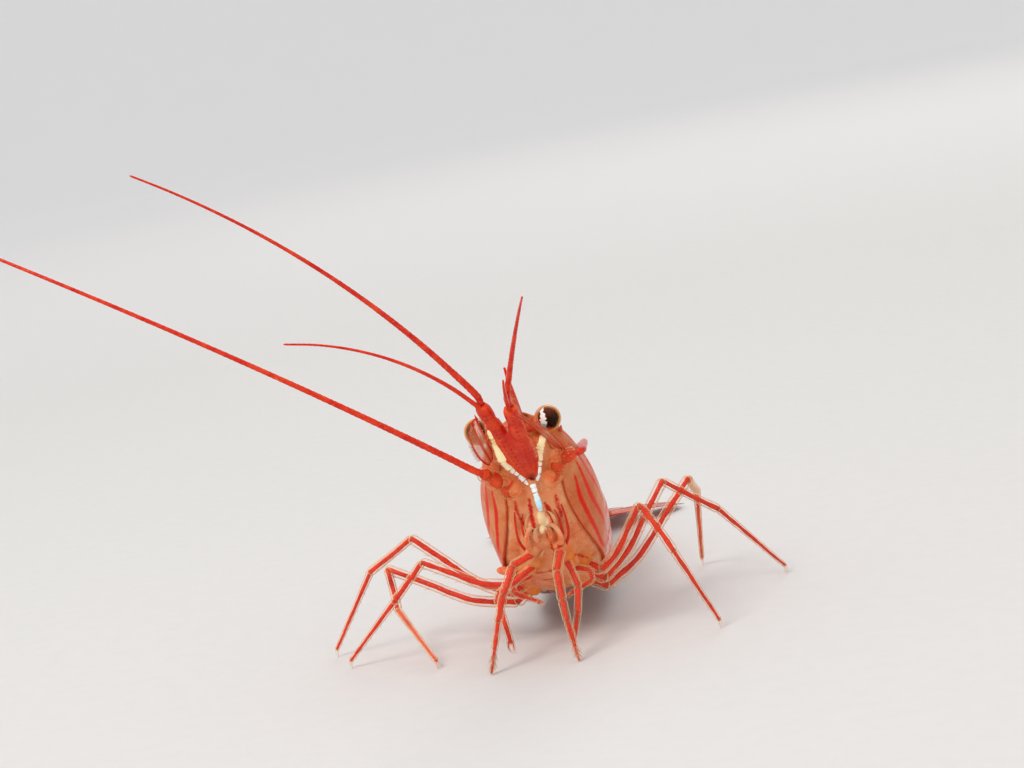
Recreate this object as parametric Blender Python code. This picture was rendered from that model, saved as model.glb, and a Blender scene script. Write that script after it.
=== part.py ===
"""A cleaner shrimp, life size: a peppermint shrimp of the genus Lysmata that stands with its head raised.

The animal faces -Y with its left side at +X. Its feet, the tips of its third maxillipeds and its tail fan
rest on Z = 0, and the origin is on the floor under the middle of its outline, feelers included. Lengths are
in millimetres and angles in degrees until the meshes are made in metres. The animal is drawn in a frame of
its own, midway between its hips. In that frame the trunk, which is the carapace with the head and the
underside, is drawn level and pitched up as one: forward is -Y, and a station is the distance forward from
the rear edge of the carapace.
"""

import bmesh
import bpy
from math import asin, cos, radians, sin, sqrt, tau
from mathutils import Matrix, Vector

MM = 0.001
GAP = 0.06  # between one piece and the next
THIN = 0.25  # half of the least thickness of a limb or a blade
ARCH_POWER = 0.92  # below 1 an arch is fuller than half an ellipse
SIDES = {"right": -1, "left": 1}  # the sign of X on each side

# Moves the whole animal so that the middle of its outline, feelers included, stands over the origin.
ANIMAL_PLACE = Vector((11.12, -8.86, 0.0))

# The trunk: how far its head end is raised, and where the middle of its rear edge stands in the animal's
# frame.
TRUNK_PITCH = 38.0
TRUNK_REAR = Vector((0.0, 1.8, 2.0))

# Carapace stations: forward, top, half width, height of the widest line, half width and height of the lower
# margin, height of the closed belly inside it.
CARAPACE = (
    (0.05, 5.70, 2.50, 2.9, 2.10, 1.00, 1.35),
    (1.00, 5.95, 2.80, 3.0, 2.40, 0.75, 1.20),
    (2.60, 6.15, 3.00, 3.0, 2.60, 0.65, 1.15),
    (4.40, 6.20, 3.10, 3.0, 2.62, 0.85, 1.25),
    (6.20, 6.05, 2.95, 3.2, 2.42, 1.35, 1.65),
    (7.80, 5.80, 2.60, 3.5, 2.10, 2.05, 2.35),
    (9.00, 5.55, 2.20, 3.9, 1.75, 2.80, 3.05),
    (9.90, 5.35, 1.75, 4.2, 1.35, 3.50, 3.65),
    (10.40, 5.22, 1.00, 4.6, 0.75, 4.30, 4.35),
)
# Between its widest line and its margin the shell turns in: share of the way sideways, share of the way down.
SHELL_TURN_IN, SHELL_TURN_DOWN = 0.35, 0.6
BELLY_SHARE = 0.6  # the flat of the belly, as a share of the margin's half width

# The rostrum: a thin blade with teeth along its upper edge. Each tooth rises slowly and drops off in front.
ROSTRUM_ROOT = 10.7
ROSTRUM_TIP = 15.0
ROSTRUM_TEETH = 5
ROSTRUM_LOW, ROSTRUM_RISE = 4.72, 0.13
ROSTRUM_DEPTH_ROOT, ROSTRUM_DEPTH_TIP = 0.62, 0.3
TOOTH_HEIGHT = 0.3
TOOTH_PLACE = 0.86  # share of a tooth's length at which its point stands
ROSTRUM_HALF_WIDTH, ROSTRUM_TIP_HALF_WIDTH = 0.45, 0.15

# Underside stations: forward, half width at the top, height of the bottom, half width at the bottom.
UNDERSIDE = (
    (0.20, 1.25, 0.20, 0.85),
    (1.80, 1.50, -0.25, 1.05),
    (4.20, 1.50, -0.35, 1.10),
    (5.80, 1.30, 0.05, 1.00),
    (6.80, 1.10, 0.70, 0.80),
    (8.70, 0.62, 2.00, 0.45),
)
# The chest floor's half outline from the middle of its top to the middle of its bottom: share of the half
# width, how far the half width and the height have changed from the top's to the bottom's, lift.
CHEST_OUTLINE = (
    (0.0, 0.0, 0.0, 0.0), (0.6, 0.0, 0.0, 0.0), (1.0, 0.0, 0.0, -0.05), (1.0, 0.3, 0.5, 0.0),
    (1.0, 1.0, 1.0, 0.12), (0.55, 1.0, 1.0, 0.0), (0.0, 1.0, 1.0, 0.0),
)
CHEST_REAR, CHEST_FRONT = 0.2, 8.7

EYE_RADIUS = 0.68
EYE_CENTRES = {"right": (11.2, 4.3, -2.15), "left": (11.3, 4.3, 1.45)}  # forward, height, to the left
EYESTALK_ROOT = (10.95, 4.18, 0.42)
EYESTALK_RADII = (0.26, 0.36, 0.5)
EYE_CLEARANCE = 0.2  # added to the gap between a stalk and its eye

# Antennule stalks run from the front of the head to the points where their feelers start, all swung a little
# to the animal's right: forward, height, to the left.
ANTENNULE_ROOTS = {"right": (9.2, 2.5, -0.19), "left": (9.2, 2.5, 0.36)}
ANTENNULE_ENDS = {"right": (13.9, 4.2, -1.5), "left": (14.0, 3.75, -0.1)}
# Along an antennule stalk: share of the way, radius.
ANTENNULE_STALK = (
    (0.0, 0.18), (0.2, 0.34), (0.4, 0.45), (0.56, 0.44),
    (0.6, 0.4), (0.78, 0.42), (0.82, 0.38), (1.0, 0.38),
)

# Antenna stalks and the scales beside them.
ANTENNA_STALKS = {
    "right": ((8.6, 1.80, -1.0), (9.15, 2.20, -1.5), (9.75, 2.50, -1.95), (10.15, 2.52, -2.3)),
    "left": ((8.95, 2.00, 1.0), (9.30, 2.40, 1.3), (9.65, 2.75, 1.6), (9.8, 2.9, 2.42)),
}
ANTENNA_STALK_RADII = (0.36, 0.50, 0.46, 0.32)
# Antennal scales: root, tip and how far the outer edge hangs.
SCALES = {
    "right": ((10.15, 3.2, -1.95), (14.5, 3.0, -2.1), 50.0),
    "left": ((10.3, 3.2, 1.9), (14.7, 2.95, 0.35), 15.0),
}
SCALE_HALF_WIDTHS = (0.26, 0.42, 0.54, 0.50, 0.24)

# Feelers: length, heading (0 is ahead, positive to the animal's left), rise, and how far both turn on the
# way. A feeler starts a little beyond its stalk; an antennule's two feelers start above and below its middle.
FEELERS = {
    "antennule_outer_right": (20.0, -68.0, 56.0, -6.0, -24.0),
    "antennule_inner_right": (10.3, -72.0, 50.0, -4.0, -40.0),
    "antennule_outer_left": (9.8, 24.0, 52.0, -14.0, -34.0),
    "antennule_inner_left": (5.6, 3.0, 28.0, 4.0, -10.0),
    "antenna_right": (38.0, -84.0, 38.0, -28.0, -12.0),
    "antenna_left": (38.0, 180.0, -5.0, 18.0, -16.0),
}
FEELER_STEP = 1.6
ANTENNULE_FEELER_START, ANTENNA_FEELER_START = 0.2, 0.3
ANTENNULE_FEELER_LIFTS = {"outer": 0.3, "inner": -0.28}

# Abdomen joints from front to rear: top and bottom as (back, up), half width. A somite lies between each two.
ABDOMEN = (
    ((5.45, 6.42), (2.15, 2.18), 2.50),
    ((7.10, 6.92), (5.20, 1.85), 2.58),
    ((10.3, 7.10), (8.90, 1.70), 2.60),
    ((14.8, 6.25), (12.4, 1.50), 2.40),
    ((18.1, 4.90), (16.2, 1.25), 2.08),
    ((21.1, 3.80), (19.5, 1.05), 1.75),
    ((25.6, 2.55), (24.8, 0.85), 1.25),
)
# How far each somite's side plates hang below its joints, and the shares of that drop along the somite.
PLEURON_DROP = (0.30, 0.62, 0.45, 0.42, 0.34, 0.06)
PLEURON_SHARES = ((0.0, 0.35), (0.3, 0.95), (0.7, 1.0), (1.0, 0.45))
# A somite's outline: height of its widest line, then share of the half width and of the height at the foot of
# its side, the half width at the tip of its side plate, and two points of its floor.
SOMITE_WIDEST = 0.42
SOMITE_SIDE = (0.97, 0.16)
PLEURON_TIP = 0.86
SOMITE_FLOOR = ((0.66, 0.12), (0.0, 0.15))
SOMITE_SWELL, SOMITE_CROWN = 0.04, 0.12  # how much wider, as a share, and higher a somite is in its middle

TELSON_LENGTH = 6.2
TELSON_HALF_WIDTHS = (0.62, 0.62, 0.50, 0.30)
TELSON_START = 0.2
UROPOD_START, UROPOD_DROP = 0.1, 0.6
TIP_CLEARANCE = 0.02
# Tail fan blades: length, spread, distance from the middle, half widths.
UROPODS = {
    "inner": (5.6, 17.0, 0.80, (0.20, 0.44, 0.60, 0.56, 0.28)),
    "outer": (6.0, 46.0, 1.45, (0.22, 0.46, 0.80, 0.78, 0.36)),
}

PLEOPOD_LENGTHS = (2.7, 3.3, 3.4, 3.1, 2.5)
PLEOPOD_HALF_WIDTHS = (0.3, 0.5, 0.55, 0.28)
PLEOPOD_DROP = 20.0
PLEOPOD_PLACE, PLEOPOD_OUT, PLEOPOD_LIFT = 0.3, 0.42, 0.2  # along the somite, across its half width, up

# Limbs on the underside: station, distance from the middle, height.
HIPS = {3: (3.2, 1.70, 0.15), 4: (1.9, 1.70, 0.15), 5: (0.6, 1.65, 0.3)}
# Walking legs: thigh, wrist, shank and toe lengths.
LEG_LENGTHS = {3: (4.7, 2.85, 4.35, 0.45), 4: (6.2, 3.6, 5.25, 0.45), 5: (7.9, 2.6, 5.4, 0.45)}
# Each leg's pose: thigh heading and rise, wrist heading and rise, shank heading. A heading is how far behind
# straight sideways the piece points; the shank's slope follows from its length, so that the toe meets the
# floor.
LEG_POSES = {
    (3, "right"): (8.0, 22.8, 20.1, -43.4, 18.3),
    (3, "left"): (-37.4, 45.8, -28.7, -58.9, 16.0),
    (4, "right"): (16.1, 35.6, 30.0, -28.5, 26.2),
    (4, "left"): (38.3, 39.9, 22.5, -38.3, 28.8),
    (5, "right"): (24.0, 17.0, 258.0, -48.0, 245.0),
    (5, "left"): (41.8, 30.6, 82.7, -27.6, 98.7),
}
HIP_LENGTH, HIP_DROP = 0.95, 36.0
THIGH_RADIUS, WRIST_RADIUS, SHANK_RADIUS = 0.32, 0.28, 0.25
THIGH_BEND, THIGH_SAG = 0.36, 0.07  # where along the thigh its low joint lies, and how far it hangs
STEEPEST_SHANK = 0.98
# At each joint a limb narrows over the last of its length to a share of its radius; its root is narrower too.
JOINT_INSET, JOINT_NARROWING, ROOT_NARROWING = 0.3, 0.86, 0.9

# The limbs in front of the walking legs: station, distance from the middle and height of the root, radius,
# then each piece's length, heading and rise. Here a heading of 0 is straight ahead and 90 is outward. A limb
# that ends on the floor has a last piece of no stated length, and then an upright toe.
FRONT_LIMBS = {
    "maxilliped_right": (
        (5.7, 0.75, -0.2), 0.32, ((1.3, 53, -11), (1.5, 48, -53), (1.4, 59, -65), (None, 80, -72))
    ),
    "maxilliped_left": (
        (5.7, 0.70, -0.2), 0.32, ((1.2, -25, -50), (1.5, 3, -62), (1.1, 12, -66), (None, 40, -80))
    ),
    "cheliped1_right": ((4.8, 0.85, -0.45), 0.28, ((2.4, 76, -26), (1.8, -17, -62), (1.3, -25, -74))),
    "cheliped1_left": ((4.8, 0.85, -0.45), 0.28, ((1.5, 27, -55), (1.4, -20, -61), (1.6, -50, -66))),
    "cheliped2_right": (
        (3.9, 1.15, -0.5), 0.26, ((1.0, 85, -12), (0.5, 20, -78), (1.1, -58, -18), (0.8, -60, -20))
    ),
    "cheliped2_left": (
        (3.9, 1.15, -0.5), 0.26, ((0.8, 76, -14), (0.5, 10, -80), (1.0, -66, -16), (0.7, -62, -20))
    ),
}
TOE_HEIGHT, LIMB_TAPER = 0.5, 0.02  # a toe's height, and how much thinner each piece is than the one before

MATERIALS = {
    "shell": ((0.78, 0.27, 0.14), 0.30),
    "underside": ((0.82, 0.36, 0.20), 0.38),
    "limb": ((0.76, 0.16, 0.08), 0.30),
    "feeler": ((0.70, 0.10, 0.05), 0.35),
    "scale": ((0.84, 0.40, 0.25), 0.28),
    "fin": ((0.80, 0.30, 0.18), 0.32),
    "eye": ((0.035, 0.02, 0.015), 0.06),
}


def start_clean():
    for obj in list(bpy.context.scene.objects):
        bpy.data.objects.remove(obj)


def make_material(name):
    colour, roughness = MATERIALS[name]
    material = bpy.data.materials.new(name)
    material.use_nodes = True
    shader = material.node_tree.nodes["Principled BSDF"]
    shader.inputs["Base Color"].default_value = (*colour, 1.0)
    shader.inputs["Roughness"].default_value = roughness
    shader.inputs["Metallic"].default_value = 0.0
    return material


def add_object(name, data, material, parent, at=Vector()):
    """Puts a mesh or a curve in the animal's collection, at a point in millimetres in its parent's frame."""
    obj = bpy.data.objects.new(name, data)
    data.materials.append(materials[material])
    collection.objects.link(obj)
    obj.parent = parent
    obj.location = at * MM
    return obj


def add_mesh(name, points, faces, material, parent, at):
    """A mesh from points in millimetres in its parent's frame, with its origin at one of its own points."""
    mesh = bpy.data.meshes.new(name)
    mesh.from_pydata([(p - at) * MM for p in points], [], faces)
    mesh.validate()
    shell = bmesh.new()
    shell.from_mesh(mesh)
    bmesh.ops.recalc_face_normals(shell, faces=shell.faces)
    shell.to_mesh(mesh)
    shell.free()
    mesh.shade_smooth()
    mesh.set_sharp_from_angle(angle=radians(50))
    return add_object(name, mesh, material, parent, at)


def loft(name, rings, material, parent):
    """A closed body through rings of equal count, with a flat cap at each end."""
    count = len(rings[0])
    points = [point for ring in rings for point in ring]
    faces = []
    for first in range(0, (len(rings) - 1) * count, count):
        for i in range(count):
            j = (i + 1) % count
            faces.append((first + i, first + j, first + count + j, first + count + i))
    faces.append(tuple(range(count)))
    faces.append(tuple(range(len(points) - count, len(points))))
    return add_mesh(name, points, faces, material, parent, sum(rings[0], Vector()) / count)


def limb(name, points, radii, material, parent, resolution=2):
    """A round tube through points, with a radius at each of them."""
    curve = bpy.data.curves.new(name, "CURVE")
    curve.dimensions = "3D"
    curve.bevel_depth = MM
    curve.bevel_resolution = resolution
    curve.use_fill_caps = True
    spline = curve.splines.new("POLY")
    spline.points.add(len(points) - 1)
    for target, point, radius in zip(spline.points, points, radii):
        target.co = (*((point - points[0]) * MM), 1.0)
        target.radius = radius
    return add_object(name, curve, material, parent, points[0])


def in_trunk(forward, height, side=0.0):
    """A point of the trunk's own frame."""
    return Vector((side, -forward, height))


def in_animal(point):
    """Where a point of the trunk's frame stands in the animal's."""
    return TRUNK_REAR + Matrix.Rotation(-radians(TRUNK_PITCH), 3, "X") @ point


def pointing(heading, rise, side=1):
    """A direction: heading 0 is ahead and 90 is out to the given side."""
    level = cos(radians(rise))
    ahead, out = cos(radians(heading)) * level, sin(radians(heading)) * level
    return Vector((side * out, -ahead, sin(radians(rise))))


def between(a, b, share):
    return a + (b - a) * share


def arch(half_width, middle, top, steps=4):
    """Half an arch as (side, height) pairs, from its crown to its widest point."""
    pairs = []
    for i in range(steps + 1):
        turn = tau / 4 * i / steps
        side, up = sin(turn) ** ARCH_POWER, cos(turn) ** ARCH_POWER
        pairs.append((half_width * side, middle + (top - middle) * up))
    return pairs


def mirrored(half):
    """A whole ring from a half outline whose first and last points lie on the middle line."""
    return half + [Vector((-p.x, p.y, p.z)) for p in reversed(half[1:-1])]


def carapace():
    """The shell over head and chest, with its rostrum. Its front slopes back below the eyes."""
    rings = []
    for forward, top, half, middle, margin, margin_height, belly in CARAPACE:
        outline = arch(half, middle, top)
        turned_in = between(half, margin, SHELL_TURN_IN)
        outline.append((turned_in, between(middle, margin_height, SHELL_TURN_DOWN)))
        outline += [(margin, margin_height), (margin * BELLY_SHARE, belly), (0.0, belly)]
        rings.append(mirrored([in_trunk(forward, height, side) for side, height in outline]))
    rings += rostrum_rings(len(rings[0]) // 2)
    return loft("carapace", rings, "shell", trunk)


def rostrum_rings(half_count):
    """Two rings for each tooth, at its rear foot and at its point, and one for the tip."""
    rings = []
    pitch = (ROSTRUM_TIP - ROSTRUM_ROOT) / ROSTRUM_TEETH
    for tooth in range(ROSTRUM_TEETH):
        for place, lift in ((0.0, 0.0), (TOOTH_PLACE, TOOTH_HEIGHT)):
            forward = ROSTRUM_ROOT + pitch * (tooth + place)
            share = (forward - ROSTRUM_ROOT) / (ROSTRUM_TIP - ROSTRUM_ROOT)
            low = ROSTRUM_LOW + ROSTRUM_RISE * (forward - ROSTRUM_ROOT)
            top = low + between(ROSTRUM_DEPTH_ROOT, ROSTRUM_DEPTH_TIP, share) + lift * (1 - 0.5 * share)
            half = between(ROSTRUM_HALF_WIDTH, THIN, sqrt(share))
            rings.append(rostrum_ring(forward, low, top, half, half_count))
    low = ROSTRUM_LOW + ROSTRUM_RISE * (ROSTRUM_TIP - ROSTRUM_ROOT)
    rings.append(rostrum_ring(ROSTRUM_TIP, low, low + ROSTRUM_DEPTH_TIP, ROSTRUM_TIP_HALF_WIDTH, half_count))
    return rings


def rostrum_ring(forward, low, top, half, half_count):
    """An upright oval across the rostrum."""
    outline = []
    for i in range(half_count + 1):
        turn = tau / 2 * i / half_count
        outline.append((half * sin(turn), between(low, top, (1 + cos(turn)) / 2)))
    return mirrored([in_trunk(forward, height, side) for side, height in outline])


def belly_at(forward):
    """Height of the carapace's closed belly at a station."""
    for (near, *_, low), (far, *_, high) in zip(CARAPACE, CARAPACE[1:]):
        if near <= forward <= far:
            return between(low, high, (forward - near) / (far - near))
    return CARAPACE[0][-1]


def underside():
    """The floor of the chest, which carries the limbs and rises in front to the mouth and the antennules."""
    stations = {s[0] for s in UNDERSIDE} | {s[0] for s in CARAPACE if CHEST_REAR < s[0] < CHEST_FRONT}
    rings = []
    for forward in sorted(stations):
        for (near, *low), (far, *high) in zip(UNDERSIDE, UNDERSIDE[1:]):
            if near <= forward <= far:
                share = (forward - near) / (far - near)
                half_top, bottom, half_bottom = (between(a, b, share) for a, b in zip(low, high))
        top = belly_at(forward) - GAP
        half_ring = []
        for width, narrowed, down, lift in CHEST_OUTLINE:
            side = width * between(half_top, half_bottom, narrowed)
            half_ring.append(in_trunk(forward, between(top, bottom, down) + lift, side))
        rings.append(mirrored(half_ring))
    return loft("underside", rings, "underside", trunk)


def eyes():
    """Two balls, each on a stalk that ends just short of it."""
    for side, sign in SIDES.items():
        centre = in_trunk(*EYE_CENTRES[side])
        ball = bmesh.new()
        bmesh.ops.create_uvsphere(ball, u_segments=14, v_segments=9, radius=EYE_RADIUS * MM)
        mesh = bpy.data.meshes.new("eye_" + side)
        ball.to_mesh(mesh)
        ball.free()
        mesh.shade_smooth()
        add_object("eye_" + side, mesh, "eye", trunk, centre)
        forward, height, out = EYESTALK_ROOT
        root = in_trunk(forward, height, sign * out)
        reach = centre - root
        short = sqrt(EYE_RADIUS**2 - EYESTALK_RADII[-1] ** 2) + GAP + EYE_CLEARANCE
        face = root + reach * (1 - short / reach.length)
        points = [root, between(root, face, 0.5), face]
        limb("eyestalk_" + side, points, EYESTALK_RADII, "limb", trunk)


def antennules():
    """Two stalks side by side, each with an outer and an inner feeler."""
    for side in SIDES:
        root, end = in_trunk(*ANTENNULE_ROOTS[side]), in_trunk(*ANTENNULE_ENDS[side])
        points = [between(root, end, share) for share, _ in ANTENNULE_STALK]
        limb("antennule_stalk_" + side, points, [radius for _, radius in ANTENNULE_STALK], "limb", trunk)
        ahead = end + (end - root).normalized() * (GAP + ANTENNULE_FEELER_START)
        for kind, lift in ANTENNULE_FEELER_LIFTS.items():
            feeler("antennule_%s_%s" % (kind, side), in_animal(ahead + Vector((0.0, 0.0, lift))), 1)


def antennae():
    """On each side a jointed stalk with one long feeler in two lengths, and the leaf-shaped scale over it."""
    for side, sign in SIDES.items():
        points = [in_trunk(*place) for place in ANTENNA_STALKS[side]]
        limb("antenna_stalk_" + side, points, ANTENNA_STALK_RADII, "limb", trunk)
        outward = (points[-1] - points[-2]).normalized()
        feeler("antenna_" + side, in_animal(points[-1] + outward * (GAP + ANTENNA_FEELER_START)), 2)
        root, tip, tilt = SCALES[side]
        up = Vector((sign * sin(radians(tilt)), 0.0, cos(radians(tilt))))
        blade("antenna_scale_" + side, in_trunk(*root), in_trunk(*tip), SCALE_HALF_WIDTHS, "scale", trunk, up)


def feeler(name, start, lengths):
    """A feeler whose heading and rise turn evenly from root to tip, in one length or more."""
    length, heading, rise, heading_turn, rise_turn = FEELERS[name]
    steps = max(6, round(length / FEELER_STEP))
    steps += -steps % lengths
    points = [start]
    for step in range(steps):
        share = (step + 0.5) / steps
        way = pointing(heading + heading_turn * share, rise + rise_turn * share)
        points.append(points[-1] + way * length / steps)
    each = steps // lengths
    for i in range(lengths):
        piece = points[i * each:(i + 1) * each + 1]
        if i:
            piece[0] = piece[0] + (piece[1] - piece[0]).normalized() * GAP
        title = name if lengths == 1 else "%s_%s" % (name, ("near", "far")[i])
        limb(title, piece, [THIN] * len(piece), "feeler", animal, 1)


def blade(name, root, tip, half_widths, material, parent, up=Vector((0.0, 0.0, 1.0))):
    """A flat leaf from root to tip, with a half width at each station."""
    along = (tip - root).normalized()
    across = along.cross(up).normalized()
    upward = across.cross(along)
    widest, highest = cos(tau / 16), sin(tau * 3 / 16)  # of a round of eight corners
    rings = []
    for i, half in enumerate(half_widths):
        centre = between(root, tip, i / (len(half_widths) - 1))
        ring = []
        for corner in range(8):
            turn = tau * (corner + 0.5) / 8
            side = across * half * cos(turn) / widest
            ring.append(centre + side + upward * THIN * sin(turn) / highest)
        rings.append(ring)
    return loft(name, rings, material, parent)


def jointed(points, radii):
    """Densifies a chain of joints so that each piece keeps its width and narrows at its ends."""
    places, widths = [points[0]], [radii[0] * ROOT_NARROWING]
    for a, b, radius in zip(points, points[1:], radii):
        inset = min(JOINT_INSET, radius / (b - a).length)
        places += [between(a, b, inset), between(a, b, 1 - inset), b]
        widths += [radius, radius, max(THIN, radius * JOINT_NARROWING)]
    return places, widths


def walking_legs():
    """Three pairs. Each leg is two nodes, parted at the knee, and its toe ends in a small level foot."""
    for (pair, side), pose in LEG_POSES.items():
        sign = -1 if side == "right" else 1
        thigh_heading, thigh_rise, wrist_heading, wrist_rise, shank_heading = pose
        thigh, wrist, shank, toe = LEG_LENGTHS[pair]
        station, out, height = HIPS[pair]
        root = in_animal(in_trunk(station, height, sign * out))
        hip = root + pointing(90 + thigh_heading / 2, -HIP_DROP, sign) * HIP_LENGTH
        knee = hip + pointing(90 + thigh_heading, thigh_rise, sign) * thigh
        middle = between(hip, knee, THIGH_BEND) - Vector((0.0, 0.0, THIGH_SAG * thigh))
        points, radii = jointed([root, hip, middle, knee], [THIGH_RADIUS] * 3)
        limb("leg%d_%s_upper" % (pair, side), points, radii, "limb", animal)
        way = pointing(90 + wrist_heading, wrist_rise, sign)
        fold = way.angle(middle - knee)
        room = (THIGH_RADIUS + GAP + WRIST_RADIUS * cos(fold)) / sin(fold)
        start = knee + way * max(room, THIGH_RADIUS + GAP)
        hand = knee + way * wrist
        fall = asin(min(STEEPEST_SHANK, (hand.z - toe) / shank))
        ankle = hand + pointing(90 + shank_heading, -fall * 360 / tau, sign) * shank
        foot = Vector((ankle.x, ankle.y, 0.0))
        points, radii = jointed([start, hand, ankle, foot], [WRIST_RADIUS, SHANK_RADIUS, SHANK_RADIUS])
        limb("leg%d_%s_lower" % (pair, side), points, radii, "limb", animal)


def front_limbs():
    """The third maxillipeds and the two pairs of small clawed legs."""
    for name, ((station, out, height), radius, pieces) in FRONT_LIMBS.items():
        sign = -1 if name.endswith("right") else 1
        joints = [in_animal(in_trunk(station, height, sign * out))]
        for length, heading, rise in pieces:
            way = pointing(heading, rise, sign)
            if length is None:
                length = (joints[-1].z - TOE_HEIGHT) / -way.z
            joints.append(joints[-1] + way * length)
        on_floor = pieces[-1][0] is None
        if on_floor:
            joints.append(Vector((joints[-1].x, joints[-1].y, 0.0)))
        points, radii = jointed(joints, [max(THIN, radius - LIMB_TAPER * i) for i in range(len(joints) - 1)])
        limb(name, points, radii, "limb", animal)


def somite_ring(joint, following, share, drop):
    """One ring of the abdomen, a share of the way from one joint to the next."""
    (top, bottom, half), (next_top, next_bottom, next_half) = joint, following
    top = between(Vector((0.0, *top)), Vector((0.0, *next_top)), share)
    bottom = between(Vector((0.0, *bottom)), Vector((0.0, *next_bottom)), share)
    swell = sin(tau / 2 * share)
    half = between(half, next_half, share) * (1 + SOMITE_SWELL * swell)
    up = (top - bottom).normalized()
    height = (top - bottom).length + SOMITE_CROWN * swell
    outline = arch(half, height * SOMITE_WIDEST, height)
    outline.append((half * SOMITE_SIDE[0], height * SOMITE_SIDE[1]))
    outline.append((half * PLEURON_TIP, -drop))
    outline += [(half * out, height * level) for out, level in SOMITE_FLOOR]
    return mirrored([bottom + up * level + Vector((side, 0.0, 0.0)) for side, level in outline])


def abdomen():
    """Six somites, each a closed body with a small gap to the next."""
    for number, (joint, following) in enumerate(zip(ABDOMEN, ABDOMEN[1:]), 1):
        top, next_top = Vector(joint[0]), Vector(following[0])
        bottom, next_bottom = Vector(joint[1]), Vector(following[1])
        length = (next_top + next_bottom - top - bottom).length / 2
        hang = PLEURON_DROP[number - 1]
        edge = GAP / 2 / length
        rings = []
        for share, drop in PLEURON_SHARES:
            share = min(max(share, edge), 1 - edge)
            rings.append(somite_ring(joint, following, share, hang * drop))
        loft("somite_%d" % number, rings, "shell", animal)


def tail_fan():
    """The telson in the middle and two blades on each side, whose tips all lie just above the floor."""
    (top, bottom, half) = ABDOMEN[-1]
    rear = Vector((0.0, (top[0] + bottom[0]) / 2 + GAP, (top[1] + bottom[1]) / 2))
    root = rear + Vector((0.0, TELSON_START, 0.0))
    drop = root.z - THIN - TIP_CLEARANCE
    tip = root + Vector((0.0, sqrt(TELSON_LENGTH**2 - drop**2), -drop))
    blade("telson", root, tip, TELSON_HALF_WIDTHS, "shell", animal)
    for kind, (length, spread, out, widths) in UROPODS.items():
        for side, sign in SIDES.items():
            root = rear + Vector((sign * out, UROPOD_START, -UROPOD_DROP))
            slope = asin((root.z - THIN - TIP_CLEARANCE) / length)
            level = Vector((sign * sin(radians(spread)), cos(radians(spread)), 0.0)) * cos(slope)
            tip = root + (level - Vector((0.0, 0.0, sin(slope)))) * length
            blade("uropod_%s_%s" % (kind, side), root, tip, widths, "fin", animal)


def pleopods():
    """Five pairs of paddles folded back under the abdomen."""
    for number, length in enumerate(PLEOPOD_LENGTHS, 1):
        (_, bottom, half), (_, next_bottom, _) = ABDOMEN[number - 1:number + 1]
        place = between(Vector((0.0, *bottom)), Vector((0.0, *next_bottom)), PLEOPOD_PLACE)
        for side, sign in SIDES.items():
            root = place + Vector((sign * half * PLEOPOD_OUT, 0.0, PLEOPOD_LIFT))
            tip = root + Vector((0.0, cos(radians(PLEOPOD_DROP)), -sin(radians(PLEOPOD_DROP)))) * length
            blade("pleopod_%d_%s" % (number, side), root, tip, PLEOPOD_HALF_WIDTHS, "fin", animal)


start_clean()
collection = bpy.data.collections.new("cleaner_shrimp")
bpy.context.scene.collection.children.link(collection)
materials = {name: make_material(name) for name in MATERIALS}
animal = bpy.data.objects.new("animal", None)
trunk = bpy.data.objects.new("trunk", None)
for empty in (animal, trunk):
    collection.objects.link(empty)
animal.location = ANIMAL_PLACE * MM
trunk.parent = animal
trunk.location = TRUNK_REAR * MM
trunk.rotation_euler.x = -radians(TRUNK_PITCH)

carapace()
underside()
eyes()
antennules()
antennae()
front_limbs()
walking_legs()
abdomen()
tail_fan()
pleopods()
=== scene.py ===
import random
from math import acos, asin, ceil, cos, pi, radians, sin, sqrt, tau

import bmesh
import bpy
from mathutils import Matrix, Vector, noise
from mathutils.bvhtree import BVHTree
from mathutils.kdtree import KDTree


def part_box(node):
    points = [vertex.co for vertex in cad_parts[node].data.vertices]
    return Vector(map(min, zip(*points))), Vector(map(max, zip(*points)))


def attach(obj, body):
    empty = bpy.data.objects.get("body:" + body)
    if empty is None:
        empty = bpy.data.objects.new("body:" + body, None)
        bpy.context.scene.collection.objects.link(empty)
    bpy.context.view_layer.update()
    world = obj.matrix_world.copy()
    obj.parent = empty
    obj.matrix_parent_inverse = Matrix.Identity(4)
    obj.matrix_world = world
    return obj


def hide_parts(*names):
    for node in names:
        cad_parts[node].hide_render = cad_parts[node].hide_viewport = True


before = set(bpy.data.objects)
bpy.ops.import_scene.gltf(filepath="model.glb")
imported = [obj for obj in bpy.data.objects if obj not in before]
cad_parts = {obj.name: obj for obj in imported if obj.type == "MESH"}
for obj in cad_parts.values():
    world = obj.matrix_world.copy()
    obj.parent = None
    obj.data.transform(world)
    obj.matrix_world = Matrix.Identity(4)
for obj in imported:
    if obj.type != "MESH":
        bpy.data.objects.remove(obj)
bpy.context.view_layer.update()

# ---- Camera --------------------------------------------------------------------------------------
# The shrimp is looked at from in front and a little above the floor, the head filling the middle of the view.
# All lengths here are in millimetres in the animal's own frame, which the left eye of the fixed frame gives;
# the trunk, its carapace and head, is pitched up in it. Pieces turn into metres as they are finished.
MM = 0.001
TRUNK_PITCH = radians(38)
TRUNK_REAR = Vector((0.0, 1.8, 2.0))
EYE_PLACES = {"right": (11.2, 4.3, -2.15), "left": (11.3, 4.3, 1.45)}


def between(a, b, share):
    return a + (b - a) * share


def in_trunk(forward, height, side=0.0):
    """Where a point of the raised trunk stands in the animal's frame."""
    return TRUNK_REAR + Matrix.Rotation(-TRUNK_PITCH, 3, "X") @ Vector((side, -forward, height))


def trunk_way(forward, height, side=0.0):
    """A direction and length given in the trunk, in the animal's frame."""
    return in_trunk(forward, height, side) - in_trunk(0, 0)


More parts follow.
